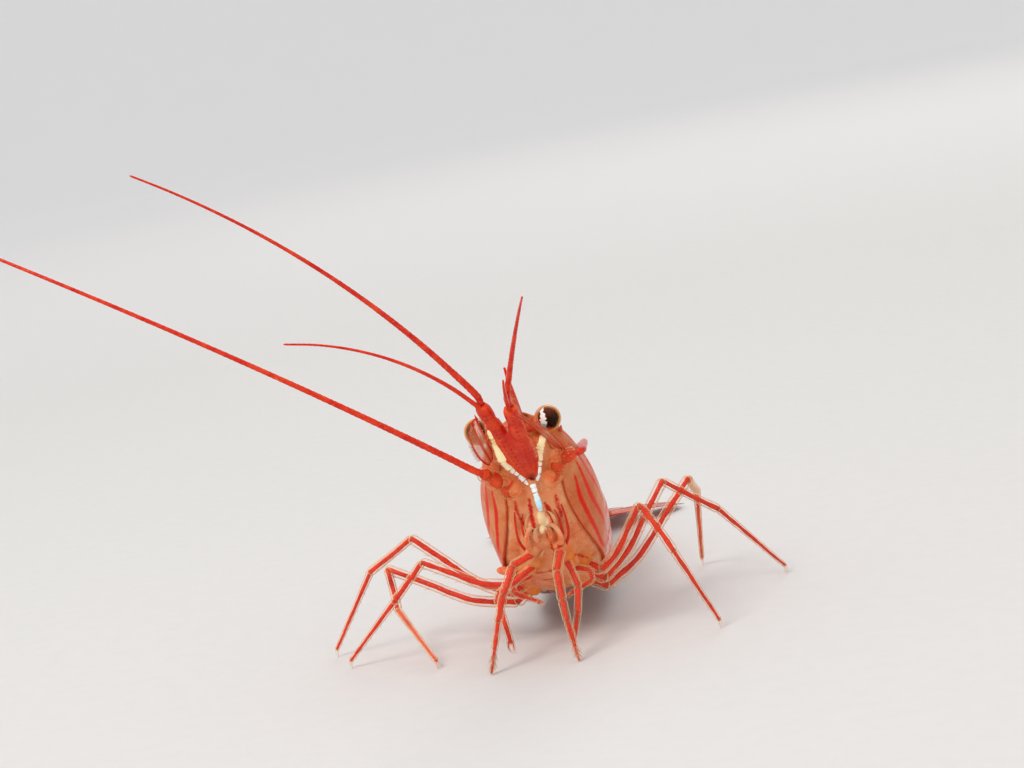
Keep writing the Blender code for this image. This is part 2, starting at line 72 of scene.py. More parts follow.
def add_to_scene(name, data):
    made = bpy.data.objects.new(name, data)
    bpy.context.scene.collection.objects.link(made)
    return made


eye_low, eye_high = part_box("eye_left")
animal_place = (eye_low + eye_high) / 2 - in_trunk(*EYE_PLACES["left"]) * MM


CAMERA_AZIMUTH, CAMERA_RISE, CAMERA_ROLL = radians(5), radians(8), radians(11)
CAMERA_DISTANCE = 128
MOUTH = Vector((0.0, -3.78, 9.15))


def make_camera():
    level_reach = cos(CAMERA_RISE)
    back = Vector((sin(CAMERA_AZIMUTH) * level_reach, -cos(CAMERA_AZIMUTH) * level_reach, sin(CAMERA_RISE)))
    level = Vector((cos(CAMERA_AZIMUTH), sin(CAMERA_AZIMUTH), 0.0))
    upright = back.cross(level)
    right = level * cos(CAMERA_ROLL) - upright * sin(CAMERA_ROLL)
    up = level * sin(CAMERA_ROLL) + upright * cos(CAMERA_ROLL)
    spot = MOUTH + back * CAMERA_DISTANCE - right * 1.0 + up * 4.95
    lens = bpy.data.cameras.new("camera")
    lens.lens = 90
    lens.clip_start = 0.01
    camera = add_to_scene("camera", lens)
    turn = Matrix((right, up, back)).transposed().to_4x4()
    camera.matrix_world = Matrix.Translation(animal_place + spot * MM) @ turn
    bpy.context.scene.camera = camera


make_camera()

# ---- Floor, backdrop and lights ------------------------------------------------------------------
# A pale studio sweep: a level floor that curves up all round into a wall, as matt paper does in a studio
# cove, with soft light from all sides. A square lamp in front gives form and gloss, with a weak one on the
# other side and one behind, which shines through the thin shell.
FLOOR_REACH, COVE_RADIUS, WALL_TOP = 0.7, 1.1, 1.3
ANIMAL_MIDDLE = Vector((0.0, 0.0, 0.008))


def shader_node(tree, kind, inputs=None, **settings):
    """A node with its settings, and with plain values or other nodes' outputs in its inputs."""
    made = tree.nodes.new(kind)
    for name, value in settings.items():
        setattr(made, name, value)
    for key, value in (inputs or {}).items():
        if isinstance(value, bpy.types.NodeSocket):
            tree.links.new(value, made.inputs[key])
        else:
            made.inputs[key].default_value = value
    return made


def maths(tree, operation, *values):
    made = shader_node(tree, "ShaderNodeMath", dict(enumerate(values)), operation=operation)
    return made.outputs[0]


def remap(tree, value, limits, smooth=False):
    """A value moved from one range to another. Limits are named as on the node."""
    kind = "SMOOTHSTEP" if smooth else "LINEAR"
    made = shader_node(tree, "ShaderNodeMapRange", {"Value": value, **limits}, interpolation_type=kind)
    return made.outputs[0]


def blend(tree, share, under, over):
    """One colour mixed into another. A plain colour is three numbers."""
    colours = [given if isinstance(given, bpy.types.NodeSocket) else (*given, 1.0) for given in (under, over)]
    inputs = {"Factor": share, 6: colours[0], 7: colours[1]}
    return shader_node(tree, "ShaderNodeMix", inputs, data_type="RGBA").outputs[2]


def own_place(tree):
    return shader_node(tree, "ShaderNodeTexCoord").outputs["Object"]


def grain(tree, scale, detail, **more):
    """Noise over the piece's own place, in the shape that the other numbers give."""
    inputs = {"Vector": own_place(tree), "Scale": scale, "Detail": detail, **more}
    return shader_node(tree, "ShaderNodeTexNoise", inputs).outputs["Fac"]


def new_material(name):
    """A material with its node tree and its one Principled shader."""
    material = bpy.data.materials.new(name)
    material.use_nodes = True
    tree = material.node_tree
    return material, tree, tree.nodes["Principled BSDF"]


def set_shader(tree, shader, **inputs):
    """Links or sets inputs of the shader, named with _ for a space."""
    for name, value in inputs.items():
        socket = shader.inputs[name.replace("_", " ")]
        if isinstance(value, bpy.types.NodeSocket):
            tree.links.new(value, socket)
        else:
            socket.default_value = value


def reshape(mesh, change):
    """Runs a change on the mesh as an editable shape."""
    shape = bmesh.new()
    shape.from_mesh(mesh)
    change(shape)
    shape.to_mesh(mesh)
    shape.free()
    return mesh


def make_sweep():
    profile = [(0.0, 0.0), (0.1, 0.0), (0.3, 0.0)]
    for i in range(17):
        turn = i * pi / 32
        profile.append((FLOOR_REACH + COVE_RADIUS * sin(turn), COVE_RADIUS * (1 - cos(turn))))
    profile.append((FLOOR_REACH + COVE_RADIUS, WALL_TOP))
    turns = 96
    angles = [tau * i / turns for i in range(turns)]
    points = [
        Vector((reach * cos(turn), reach * sin(turn), rise)) for reach, rise in profile for turn in angles
    ]
    faces = []
    for ring in range(len(profile) - 1):
        for i in range(turns):
            a, b = ring * turns + i, ring * turns + (i + 1) % turns
            faces.append((a, b, b + turns, a + turns))
    mesh = bpy.data.meshes.new("studio_sweep")
    mesh.from_pydata(points, [], faces)
    reshape(mesh, lambda shape: bmesh.ops.remove_doubles(shape, verts=shape.verts, dist=1e-6))
    mesh.shade_smooth()
    material, tree, shader = new_material("matt paper")
    tone = blend(tree, grain(tree, 900.0, 4.0), (0.7, 0.69, 0.675), (0.74, 0.73, 0.715))
    # Painted light: the paper is painted paler from 0.15 m to 0.65 m out, standing in for the lamp light that
    # falls off over the far floor and wall.
    distance = shader_node(tree, "ShaderNodeVectorMath", {0: own_place(tree)}, operation="LENGTH")
    painted_far_light = remap(tree, distance.outputs["Value"], {"From Min": 0.15, "From Max": 0.65})
    set_shader(tree, shader, Base_Color=blend(tree, painted_far_light, tone, (0.95, 0.945, 0.94)), Roughness=0.9)
    mesh.materials.append(material)
    add_to_scene("studio_sweep", mesh)


def area_light(name, spot, size, power, colour):
    """A square soft light at a point in metres, aimed at the middle of the animal."""
    lamp = bpy.data.lights.new(name, "AREA")
    lamp.size = size
    lamp.energy = power
    lamp.color = colour
    holder = add_to_scene(name, lamp)
    holder.location = spot
    holder.rotation_euler = (ANIMAL_MIDDLE - spot).to_track_quat("-Z", "Y").to_euler()


make_sweep()
area_light("key light", Vector((-0.16, -0.26, 0.34)), 0.18, 0.95, (1.0, 0.97, 0.93))
area_light("fill light", Vector((0.34, -0.22, 0.2)), 0.3, 0.1, (0.94, 0.97, 1.0))
area_light("back light", Vector((0.1, 0.36, 0.3)), 0.22, 0.3, (1.0, 0.96, 0.9))

sky = bpy.data.worlds.new("studio air")
sky.use_nodes = True
set_shader(sky.node_tree, sky.node_tree.nodes["Background"], Color=(0.98, 0.98, 1.0, 1.0), Strength=0.74)
bpy.context.scene.world = sky
bpy.context.scene.view_settings.view_transform = "Standard"

# ---- Carapace and rostrum ------------------------------------------------------------------------
# One thin, clear, springy shell over head and chest, open below, with a saw-edged beak between the eyes.
# Its skin holds red pigment in slanting lines and scattered dots, and the flesh beneath tones it peach.
# Stations: forward, top, half width, height of the widest line, half width and height of the lower margin.
CARAPACE = (
    (0.05, 5.7, 2.5, 2.9, 2.1, 1.0),
    (1.0, 5.95, 2.8, 3.0, 2.4, 0.75),
    (2.6, 6.15, 3.0, 3.0, 2.58, 0.62),
    (4.4, 6.2, 3.1, 3.0, 2.34, 0.6),
    (6.2, 6.05, 2.95, 3.2, 1.86, 0.98),
    (7.8, 5.8, 2.6, 3.5, 1.52, 1.66),
    (9.0, 5.55, 2.2, 3.9, 1.46, 2.55),
    (9.9, 5.35, 1.75, 4.2, 1.25, 3.4),
    (10.4, 5.25, 1.02, 4.6, 0.78, 4.3),
    (10.75, 5.22, 0.46, 4.9, 0.36, 4.72),
)
SHELL_THICKNESS = 0.12
# Red lines on each side of the shell: (forward, height) points and half width.
SHELL_LINES = (
    (((8.15, 2.5), (7.05, 1.8), (5.75, 1.34), (4.45, 1.02), (3.6, 0.9), (2.9, 0.98), (2.5, 1.25)), 0.135),
    (((8.5, 3.2), (7.35, 2.58), (6.25, 2.12), (4.75, 1.92), (3.3, 1.85), (1.7, 1.8), (0.2, 1.95)), 0.14),
    (((9.2, 3.85), (7.9, 3.48), (6.5, 3.02), (4.9, 2.78), (3.2, 2.7), (1.6, 2.76), (0.1, 2.95)), 0.135),
    (((9.75, 4.45), (8.5, 4.35), (7.0, 3.95), (5.2, 3.62), (3.5, 3.52), (1.8, 3.6), (0.1, 3.85)), 0.145),
    (((10.2, 4.95), (8.9, 5.02), (7.3, 4.8), (5.6, 4.48), (3.8, 4.32), (1.9, 4.38), (0.1, 4.6)), 0.14),
    (((9.4, 5.2), (8.5, 5.31), (7.4, 5.4), (6.2, 5.46), (4.4, 5.5), (2.6, 5.46), (1.0, 5.34), (0.1, 5.2)),
     0.15),
    (((8.3, 5.62), (7.4, 4.95), (6.7, 4.3), (6.2, 3.6), (6.0, 3.1)), 0.13),
    (((8.6, 5.59), (7.6, 5.75), (6.2, 5.94), (4.4, 6.09), (2.6, 6.05), (1.0, 5.86), (0.1, 5.62)), 0.14),
)


def smooth_row(rows, at):
    """The numbers at a station, on a smooth curve through rows that each start with their station."""
    i = 0
    while i < len(rows) - 2 and at > rows[i + 1][0]:
        i += 1
    before, near, far, after = rows[max(i - 1, 0)], rows[i], rows[i + 1], rows[min(i + 2, len(rows) - 1)]
    span = far[0] - near[0]
    t = min(1.0, max(0.0, (at - near[0]) / span))
    numbers = []
    for k in range(1, len(near)):
        leave = (far[k] - before[k]) / (far[0] - before[0]) * span
        arrive = (after[k] - near[k]) / (after[0] - near[0]) * span
        numbers.append(
            near[k] * (2 * t**3 - 3 * t**2 + 1) + leave * (t**3 - 2 * t**2 + t)
            + far[k] * (3 * t**2 - 2 * t**3) + arrive * (t**3 - t**2)
        )
    return numbers


def smooth_path(knots, step):
    """Points about a step apart on a smooth curve through the knots."""
    rows, travelled = [(0.0, *knots[0])], 0.0
    for a, b in zip(knots, knots[1:]):
        travelled += (Vector(b) - Vector(a)).length
        rows.append((travelled, *b))
    count = max(2, ceil(travelled / step))
    return [Vector(smooth_row(rows, travelled * i / count)) for i in range(count + 1)]


def shell_outline(forward, share):
    """Side and height on the shell's half outline, from its crown at 0 to its lower margin at 1."""
    top, half, middle, margin, margin_height = smooth_row(CARAPACE, forward)
    if share < 0.66:
        turn = share / 0.66 * pi / 2
        side, height = half * sin(turn) ** 0.92, middle + (top - middle) * max(0.0, cos(turn)) ** 0.92
    else:
        t = (share - 0.66) / 0.34
        side = half * (1 - t * t) + margin * t * t
        elbow = between(middle, margin_height, 0.55)
        height = middle * (1 - t) ** 2 + elbow * 2 * t * (1 - t) + margin_height * t * t
    return side, height


def on_shell(forward, height, sign):
    """The point of the shell at a station and height, in the animal's frame."""
    low, high = 0.0, 1.0
    for _ in range(18):
        share = (low + high) / 2
        if shell_outline(forward, share)[1] > height:
            low = share
        else:
            high = share
    side, reached = shell_outline(forward, low)
    return in_trunk(forward, reached, sign * side)


def evenly(steps, first=0.0, last=1.0):
    """Even stations from first to last, both included."""
    return [first + (last - first) * i / steps for i in range(steps + 1)]


def over_the_back(columns):
    """Side signs and shares of a half outline, from the left margin over the crown to the right margin."""
    shares = evenly(columns)
    return [(1, share) for share in reversed(shares)] + [(-1, share) for share in shares[1:]]


class Blank:
    """Points in the animal's frame with the faces that join them, and numbers kept point by point."""

    def __init__(self, *marks):
        self.points, self.faces, self.marks = [], [], {mark: [] for mark in marks}

    def skin(self, rings, closed=True, ends=True, **marks):
        """Joins rings of equal count. Each mark is one number, or one for each ring."""
        first, count = len(self.points), len(rings[0])
        for i, ring in enumerate(rings):
            self.points += ring
            for mark, numbers in self.marks.items():
                given = marks.get(mark, 0.0)
                numbers += [given[i] if isinstance(given, (list, tuple)) else given] * count
        for i in range(len(rings) - 1):
            for j in range(count if closed else count - 1):
                a, b = first + i * count + j, first + i * count + (j + 1) % count
                self.faces.append((a, b, b + count, a + count))
        if ends:
            self.faces.append(tuple(range(first + count - 1, first - 1, -1)))
            self.faces.append(tuple(range(first + (len(rings) - 1) * count, first + len(rings) * count)))

    def mesh(self, name):
        made = bpy.data.meshes.new(name)
        made.from_pydata(self.points, [], self.faces)
        return reshape(made, lambda shape: bmesh.ops.recalc_face_normals(shape, faces=shape.faces))


def thicken(mesh, middle, thickness):
    """Gives an open skin a wall that grows inwards, to the side where its middle lies."""
    def wall(shape):
        outward = sum(face.normal.dot(face.calc_center_median() - middle) for face in shape.faces)
        if outward < 0:
            bmesh.ops.reverse_faces(shape, faces=shape.faces)
        bmesh.ops.solidify(shape, geom=shape.faces[:], thickness=thickness)

    return reshape(mesh, wall)


def sweep(path, radii, sides=12, flat=1.0, upward=Vector((0.0, 0.0, 1.0))):
    """Rings round a path. Flat squashes them towards the upward direction."""
    rings, across = [], None
    for i, (point, radius) in enumerate(zip(path, radii)):
        along = (path[min(i + 1, len(path) - 1)] - path[max(i - 1, 0)]).normalized()
        if across is None:
            across = along.cross(upward)
            across = across if across.length > 0.05 else along.cross(Vector((0.0, 1.0, 0.0)))
        across = (across - along * across.dot(along)).normalized()
        over = across.cross(along)
        ring = []
        for k in range(sides):
            turn = tau * k / sides
            ring.append(point + across * radius * cos(turn) + over * radius * flat * sin(turn))
        rings.append(ring)
    return rings


def spine(blank, root, way, length, radius, hook=0.15, flat=1.0, sides=6, **marks):
    """A stiff tapering point that leans over a little towards its tip."""
    bend = way.cross(Vector((1.0, 0.0, 0.0)))
    path = [root + way * length * t + bend * hook * length * t * t for t in (0.0, 0.25, 0.55, 0.82, 1.0)]
    blank.skin(sweep(path, [radius * r for r in (1.0, 0.86, 0.58, 0.28, 0.04)], sides, flat), **marks)


def line_field(lines):
    """A function of a point: how many millimetres it lies outside the nearest line, below 0 inside it."""
    samples = [(point, half) for line, half in lines for point in line]
    tree = KDTree(len(samples))
    for i, (point, _) in enumerate(samples):
        tree.insert(point, i)
    tree.balance()

    def outside(point):
        _, index, distance = tree.find(point)
        return distance - samples[index][1]

    return outside


def drawn(path, half):
    """A painted line point by point, each with its half width, drawn out thin at both ends."""
    last = len(path) - 1
    return [([point], half * min(1.0, 0.5 + 3.0 * min(i, last - i) / last)) for i, point in enumerate(path)]


def finish_piece(name, mesh, material, nodes=(), marks=None):
    """Keeps the marks on the points, turns the mesh into metres at the animal's place, sets it on the root.
    """
    for mark, given in (marks or {}).items():
        numbers = given if isinstance(given, list) else [given(v.co) for v in mesh.vertices]
        mesh.attributes.new(mark, "FLOAT", "POINT").data.foreach_set("value", numbers)
    mesh.transform(Matrix.Translation(animal_place) @ Matrix.Scale(MM, 4))
    mesh.shade_smooth()
    mesh.materials.append(material)
    piece = add_to_scene(name, mesh)
    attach(piece, "root")
    if nodes:
        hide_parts(*nodes)


def new_group(name, inputs, outputs):
    """A shader node group, with what it is given and what it puts out. Inputs are (name, kind, default)."""
    group = bpy.data.node_groups.new(name, "ShaderNodeTree")
    for title, kind, value in inputs:
        socket = group.interface.new_socket(title, in_out="INPUT", socket_type="NodeSocket" + kind)
        socket.default_value = value
    for title, kind in outputs:
        group.interface.new_socket(title, in_out="OUTPUT", socket_type="NodeSocket" + kind)
    return group, group.nodes.new("NodeGroupInput").outputs, group.nodes.new("NodeGroupOutput").inputs


def make_drift_group():
    """Slow and fine drift between a pale and a deep colour, as in living tissue over the organs."""
    group, given, out = new_group(
        "tissue drift",
        (("Pale", "Color", (1, 1, 1, 1)), ("Deep", "Color", (0, 0, 0, 1)), ("Scale", "Float", 900.0),
         ("Balance", "Float", 0.5)),
        (("Colour", "Color"),),
    )
    broad = grain(group, given["Scale"], 3.0, Roughness=0.55, Distortion=0.6)
    fine = grain(group, maths(group, "MULTIPLY", given["Scale"], 6.5), 4.0, Roughness=0.65)
    level = maths(group, "ADD", maths(group, "MULTIPLY_ADD", fine, 0.35, broad), given["Balance"])
    share = remap(group, level, {"From Min": 0.88, "From Max": 1.42}, smooth=True)
    group.links.new(blend(group, share, given["Pale"], given["Deep"]), out["Colour"])
    return group


def make_dots_group():
    """Pigment cells: small round dots of uneven size, thickly or thinly strewn."""
    group, given, out = new_group(
        "pigment dots", (("Scale", "Float", 9000.0), ("Size", "Float", 0.3), ("Share", "Float", 0.5)),
        (("Mask", "Float"),),
    )
    inputs = {"Vector": own_place(group), "Scale": given["Scale"]}
    cells = shader_node(group, "ShaderNodeTexVoronoi", inputs).outputs
    kept = shader_node(group, "ShaderNodeSeparateColor", {"Color": cells["Color"]}).outputs
    chosen = maths(group, "LESS_THAN", kept["Red"], given["Share"])
    wide = maths(group, "ADD", maths(group, "MULTIPLY", kept["Green"], given["Size"]), 0.1)
    disc = remap(group, cells["Distance"], {"From Min": wide, "From Max": 0.04})
    group.links.new(maths(group, "MULTIPLY", disc, chosen), out["Mask"])
    return group


def make_line_group():
    """A painted line from its distance field, with an edge as ragged as pigment cells leave it."""
    group, given, out = new_group(
        "pigment line",
        (("Outside", "Float", 1.0), ("Ragged", "Float", 0.08), ("Soft", "Float", 0.05),
         ("Scale", "Float", 5000.0)),
        (("Mask", "Float"),),
    )
    rough = maths(group, "SUBTRACT", grain(group, given["Scale"], 3.0, Roughness=0.6), 0.5)
    shifted = maths(group, "MULTIPLY_ADD", rough, given["Ragged"], given["Outside"])
    inner = maths(group, "MULTIPLY", given["Soft"], -1.0)
    mask = remap(group, shifted, {"From Min": given["Soft"], "From Max": inner}, smooth=True)
    group.links.new(mask, out["Mask"])
    return group


def make_relief_group():
    """The fine unevenness of wet cuticle, with the roughness that goes with it."""
    group, given, out = new_group(
        "wet relief", (("Scale", "Float", 6000.0), ("Strength", "Float", 0.2), ("Roughness", "Float", 0.25)),
        (("Normal", "Vector"), ("Roughness", "Float")),
    )
    height = grain(group, given["Scale"], 5.0, Roughness=0.6)
    inputs = {"Strength": given["Strength"], "Distance": 0.00006, "Height": height}
    group.links.new(shader_node(group, "ShaderNodeBump", inputs).outputs["Normal"], out["Normal"])
    rough = maths(group, "MULTIPLY_ADD", height, 0.16, given["Roughness"])
    group.links.new(maths(group, "SUBTRACT", rough, 0.07), out["Roughness"])
    return group


tissue_drift, pigment_dots = make_drift_group(), make_dots_group()
pigment_line, wet_relief = make_line_group(), make_relief_group()


def place_group(tree, group, inputs):
    return shader_node(tree, "ShaderNodeGroup", inputs, node_tree=group).outputs


def line_mask(tree, mark, ragged, soft):
    """Where the line that a mark on the points describes is drawn."""
    field = shader_node(tree, "ShaderNodeAttribute", attribute_name=mark).outputs["Fac"]
    return place_group(tree, pigment_line, {"Outside": field, "Ragged": ragged, "Soft": soft})["Mask"]


def wet_tissue(name, pale, deep, scale, balance=0.5, dots=(), lines=(), roughness=0.25, relief=0.2,
               scatter=0.5, reach=0.0008, coat=0.2):
    """A glossy wet tissue. Dots are (colour, scale, size, share), lines (mark, colour, ragged, soft)."""
    material, tree, shader = new_material(name)
    drift = {"Pale": (*pale, 1.0), "Deep": (*deep, 1.0), "Scale": scale, "Balance": balance}
    colour = place_group(tree, tissue_drift, drift)["Colour"]
    for tone, many, size, share in dots:
        strewn = place_group(tree, pigment_dots, {"Scale": many, "Size": size, "Share": share})["Mask"]
        colour = blend(tree, strewn, colour, tone)
    for mark, tone, ragged, soft in lines:
        colour = blend(tree, line_mask(tree, mark, ragged, soft), colour, tone)
    surface = place_group(tree, wet_relief, {"Strength": relief, "Roughness": roughness})
    set_shader(
        tree, shader, Base_Color=colour, Roughness=surface["Roughness"], Normal=surface["Normal"],
        Subsurface_Weight=scatter, Subsurface_Radius=(1.0, 0.35, 0.18), Subsurface_Scale=reach,
        Specular_IOR_Level=0.12, Coat_Weight=coat, Coat_Roughness=0.08,
    )
    return material


RED_LINE = (0.78, 0.016, 0.003)


BEAK_START, BEAK_LENGTH = 10.1, 4.9
AHEAD, UPRIGHT = trunk_way(1, 0), trunk_way(0, 1)


def rostrum_level(forward):
    """Height of the beak's middle line at a station, rising a little to its tip."""
    return 4.98 + 0.1 * (forward - 10.7)


def rostrum_half(forward):
    """Half height of the beak at a station."""
    return between(0.36, 0.05, ((forward - BEAK_START) / BEAK_LENGTH) ** 1.3)


def add_rostrum(blank):
    rings = []
    for forward in evenly(70, BEAK_START, BEAK_START + BEAK_LENGTH):
        point, half = in_trunk(forward, rostrum_level(forward)), rostrum_half(forward)
        ring = []
        for k in range(20):
            turn = tau * k / 20
            wide = half * 0.34 + 0.03 + 0.07 * abs(cos(turn)) ** 6 * half / 0.36
            ring.append(point + Vector((cos(turn) * wide, 0, 0)) + UPRIGHT * sin(turn) * half)
        rings.append(ring)
    blank.skin(rings)
    way = (AHEAD * 0.86 + UPRIGHT * 0.52).normalized()
    for i in range(7):
        f = 8.7 + 0.86 * i
        top = smooth_row(CARAPACE, min(f, 10.6))[0] - 0.02
        if f > 10.3:
            top = rostrum_level(f) + rostrum_half(f) - 0.06
        spine(blank, in_trunk(f, top), way, 0.66 - 0.04 * i, 0.15 - 0.008 * i, 0.22, 0.5, 8)
    way = (AHEAD * 0.9 - UPRIGHT * 0.42).normalized()
    for f in (12.6, 13.35, 14.1):
        low = rostrum_level(f) - rostrum_half(f) + 0.05
        spine(blank, in_trunk(f, low), way, 0.42, 0.1, -0.2, 0.5, 8)


# Where the front of the head glows orange red, on both sides: points and half width.
BLUSH = [
    ([in_trunk(9.0, 3.1, sign * 1.75), in_trunk(9.6, 3.5, sign * 1.7), in_trunk(10.1, 4.2, sign * 1.3)], 0.3)
    for sign in (-1, 1)
]


def make_carapace():
    blank = Blank()
    rings = []
    for forward in evenly(112, 0.05, 10.75):
        rear_rim = 0.05 * max(0.0, 1 - (forward - 0.05) / 0.22)
        ring = []
        for sign, share in over_the_back(46):
            side, height = shell_outline(forward, share)
            rim = 0.05 * max(0.0, (share - 0.955) / 0.045) + rear_rim
            beside_groove = abs(forward - 7.3 + 1.5 * (share - 0.3)) / 0.3
            groove = 0.09 * max(0.0, 1 - beside_groove) * sin(pi * min(1.0, share * 1.3))
            swell = 0.03 * noise.noise(Vector((forward * 0.9, share * 5.0, sign * 3.0)))
            grown = 1 + (rim + swell - groove * 0.6) / max(side, 1.2)
            ring.append(in_trunk(forward, height + rim * 0.4 * (1 - share), sign * side * grown))
        rings.append(ring)
    blank.skin(rings, closed=False, ends=False)
    shell = thicken(blank.mesh("carapace_shell"), in_trunk(5, 3.5), SHELL_THICKNESS)
    beak = Blank()
    add_rostrum(beak)
    for sign in (-1, 1):
        way = (AHEAD + Vector((0.25 * sign, 0, 0))).normalized()
        spine(beak, on_shell(9.75, 4.35, sign), way, 0.55, 0.13, 0.05, 0.7, 8)
    beak_mesh = beak.mesh("rostrum")
    reshape(shell, lambda shape: shape.from_mesh(beak_mesh))
    lines, edge = [], []
    for sign in (-1, 1):
        for knots, half in SHELL_LINES:
            lines += drawn([on_shell(f, h, sign) for f, h in smooth_path(knots, 0.05)], half)
        for f in evenly(207, 0.05, 10.4):
            side, height = shell_outline(f, 1.0)
            edge.append(([in_trunk(f, height, sign * side)], 0.07))
    lines.append(([in_trunk(f, rostrum_level(f)) for f in evenly(87, 10.6, 14.95)], 0.2))
    material = wet_tissue(
        "carapace shell", (0.78, 0.3, 0.12), (0.62, 0.13, 0.035), 420.0, 0.52,
        dots=(((0.9, 0.5, 0.28), 9000.0, 0.26, 0.2), ((0.52, 0.02, 0.005), 15000.0, 0.34, 0.35)),
        lines=(("blush", (0.82, 0.12, 0.015), 0.3, 0.45), ("edge", (0.72, 0.03, 0.006), 0.06, 0.05),
               ("stripe", RED_LINE, 0.12, 0.05)),
        roughness=0.3, relief=0.25, scatter=0.4, reach=0.0003, coat=0.04,
    )
    marks = {"stripe": line_field(lines), "edge": line_field(edge), "blush": line_field(BLUSH)}
    finish_piece("carapace_shell", shell, material, ("carapace",), marks)


make_carapace()

# ---- Chest floor, mouth and limb roots -----------------------------------------------------------
# One soft skin that fills the open underside of the carapace: the chest plates, the rounded first joints of
# all limbs, the upper lip and jaws, and the ridge from the mouth up between the antennae. Its cuticle is thin
# and glassy, the flesh under it peach to orange, and pigment lies in short red strokes round the mouth.
CHEST = (
    (0.2, 1.25, 0.2, 1.35), (1.8, 1.5, -0.25, 1.2), (4.2, 1.5, -0.32, 1.25),
    (5.8, 1.3, 0.08, 1.55), (6.8, 1.05, 0.72, 1.85), (8.7, 0.6, 2.02, 2.8),
)
# Rounded masses on the chest: centre (forward, height, left), then half sizes in the same order.
LIMB_ROOTS = (
    ((0.7, 0.45, 1.45), (0.62, 0.5, 0.52)), ((1.95, 0.3, 1.5), (0.62, 0.52, 0.55)),
    ((3.2, 0.28, 1.5), (0.6, 0.52, 0.56)), ((4.0, -0.15, 1.0), (0.42, 0.42, 0.45)),
    ((4.85, -0.15, 0.8), (0.42, 0.42, 0.4)), ((5.7, 0.08, 0.72), (0.45, 0.42, 0.42)),
    ((6.45, 0.62, 0.6), (0.4, 0.3, 0.34)), ((6.95, 0.86, 0.42), (0.36, 0.32, 0.3)),
)
MOUTH_MASSES = (
    ((7.25, 1.0, 0.05), (0.42, 0.34, 0.3)), ((6.75, 0.55, 0.08), (0.3, 0.26, 0.26)),
    ((8.85, 2.2, 0.02), (0.34, 0.3, 0.26)), ((8.35, 1.8, 0.05), (0.42, 0.26, 0.2)),
    ((7.85, 1.42, 0.09), (0.42, 0.24, 0.18)), ((8.75, 2.15, -1.0), (0.62, 0.55, 0.52)),
    ((9.05, 2.45, -1.45), (0.5, 0.5, 0.45)), ((8.95, 2.25, 1.02), (0.6, 0.55, 0.5)),
    ((9.45, 2.95, 1.5), (0.55, 0.6, 0.5)), ((9.35, 2.95, -0.3), (0.5, 0.5, 0.46)),
    ((9.35, 2.95, 0.42), (0.5, 0.5, 0.42)), ((9.75, 3.45, -1.3), (0.55, 0.45, 0.42)),
    ((9.9, 3.7, 0.75), (0.6, 0.5, 0.42)), ((10.35, 4.2, 0.0), (0.55, 0.5, 0.62)),
)

# Orange arcs round the antenna bases, where cuticle folds over: centre, radius and end angles from above.
ANTENNA_ARCS = (
    (9.4, 2.75, 1.45, 0.46, -150, 130), (9.4, 2.75, 1.45, 0.26, -40, 200), (9.2, 2.45, 1.15, 0.34, 60, 260),
    (9.0, 2.35, -1.4, 0.42, -130, 150), (9.0, 2.35, -1.4, 0.22, 0, 220), (8.8, 2.05, -1.0, 0.34, 100, 280),
)


def rounded_ring(forward, half, low, high, boxy):
    """A ring across the trunk, between an ellipse and a box."""
    ring = []
    for k in range(40):
        turn = tau * k / 40
        c, s = cos(turn), sin(turn)
        size = (abs(c) ** boxy + abs(s) ** boxy) ** (-1 / boxy)
        ring.append(in_trunk(forward, (low + high) / 2 + (high - low) / 2 * size * s, half * size * c))
    return ring


def add_lump(blank, centre, sizes, sign=1):
    (forward, height, left), (long, tall, wide) = centre, sizes
    rings = []
    for i in range(1, 12):
        tilt = pi * i / 12
        station, reach = forward + long * cos(tilt), sin(tilt)
        turns = [tau * k / 16 for k in range(16)]
        rings.append([
            in_trunk(station, height + tall * reach * sin(turn), sign * (left + wide * reach * cos(turn)))
            for turn in turns
        ])
    blank.skin(rings)


def one_skin(mesh, voxel, rounds):
    """Melts overlapping bodies into one even skin and lets it relax."""
    holder = add_to_scene("melt", mesh)
    melt = holder.modifiers.new("melt", "REMESH")
    melt.mode = "VOXEL"
    melt.voxel_size = voxel
    relax = holder.modifiers.new("relax", "SMOOTH")
    relax.iterations = rounds
    relax.factor = 0.5
    melted = bpy.data.meshes.new_from_object(holder.evaluated_get(bpy.context.evaluated_depsgraph_get()))
    bpy.data.objects.remove(holder)
    return melted


FACE_WAY = Vector((0.086, -0.986, 0.139))  # the way that the raised face looks
face_surfaces = []


def on_face(point):
    """Moves a point along the way the face looks until it lies on the outermost skin there."""
    best = None
    for tree in face_surfaces:
        hit = tree.ray_cast(point + FACE_WAY * 5, -FACE_WAY, 7.5)[0]
        if hit and (best is None or (hit - best).dot(FACE_WAY) > 0):
            best = hit
    return best or point


def keep_surface(mesh):
    corners, faces = [v.co for v in mesh.vertices], [p.vertices for p in mesh.polygons]
    face_surfaces.append(BVHTree.FromPolygons(corners, faces))


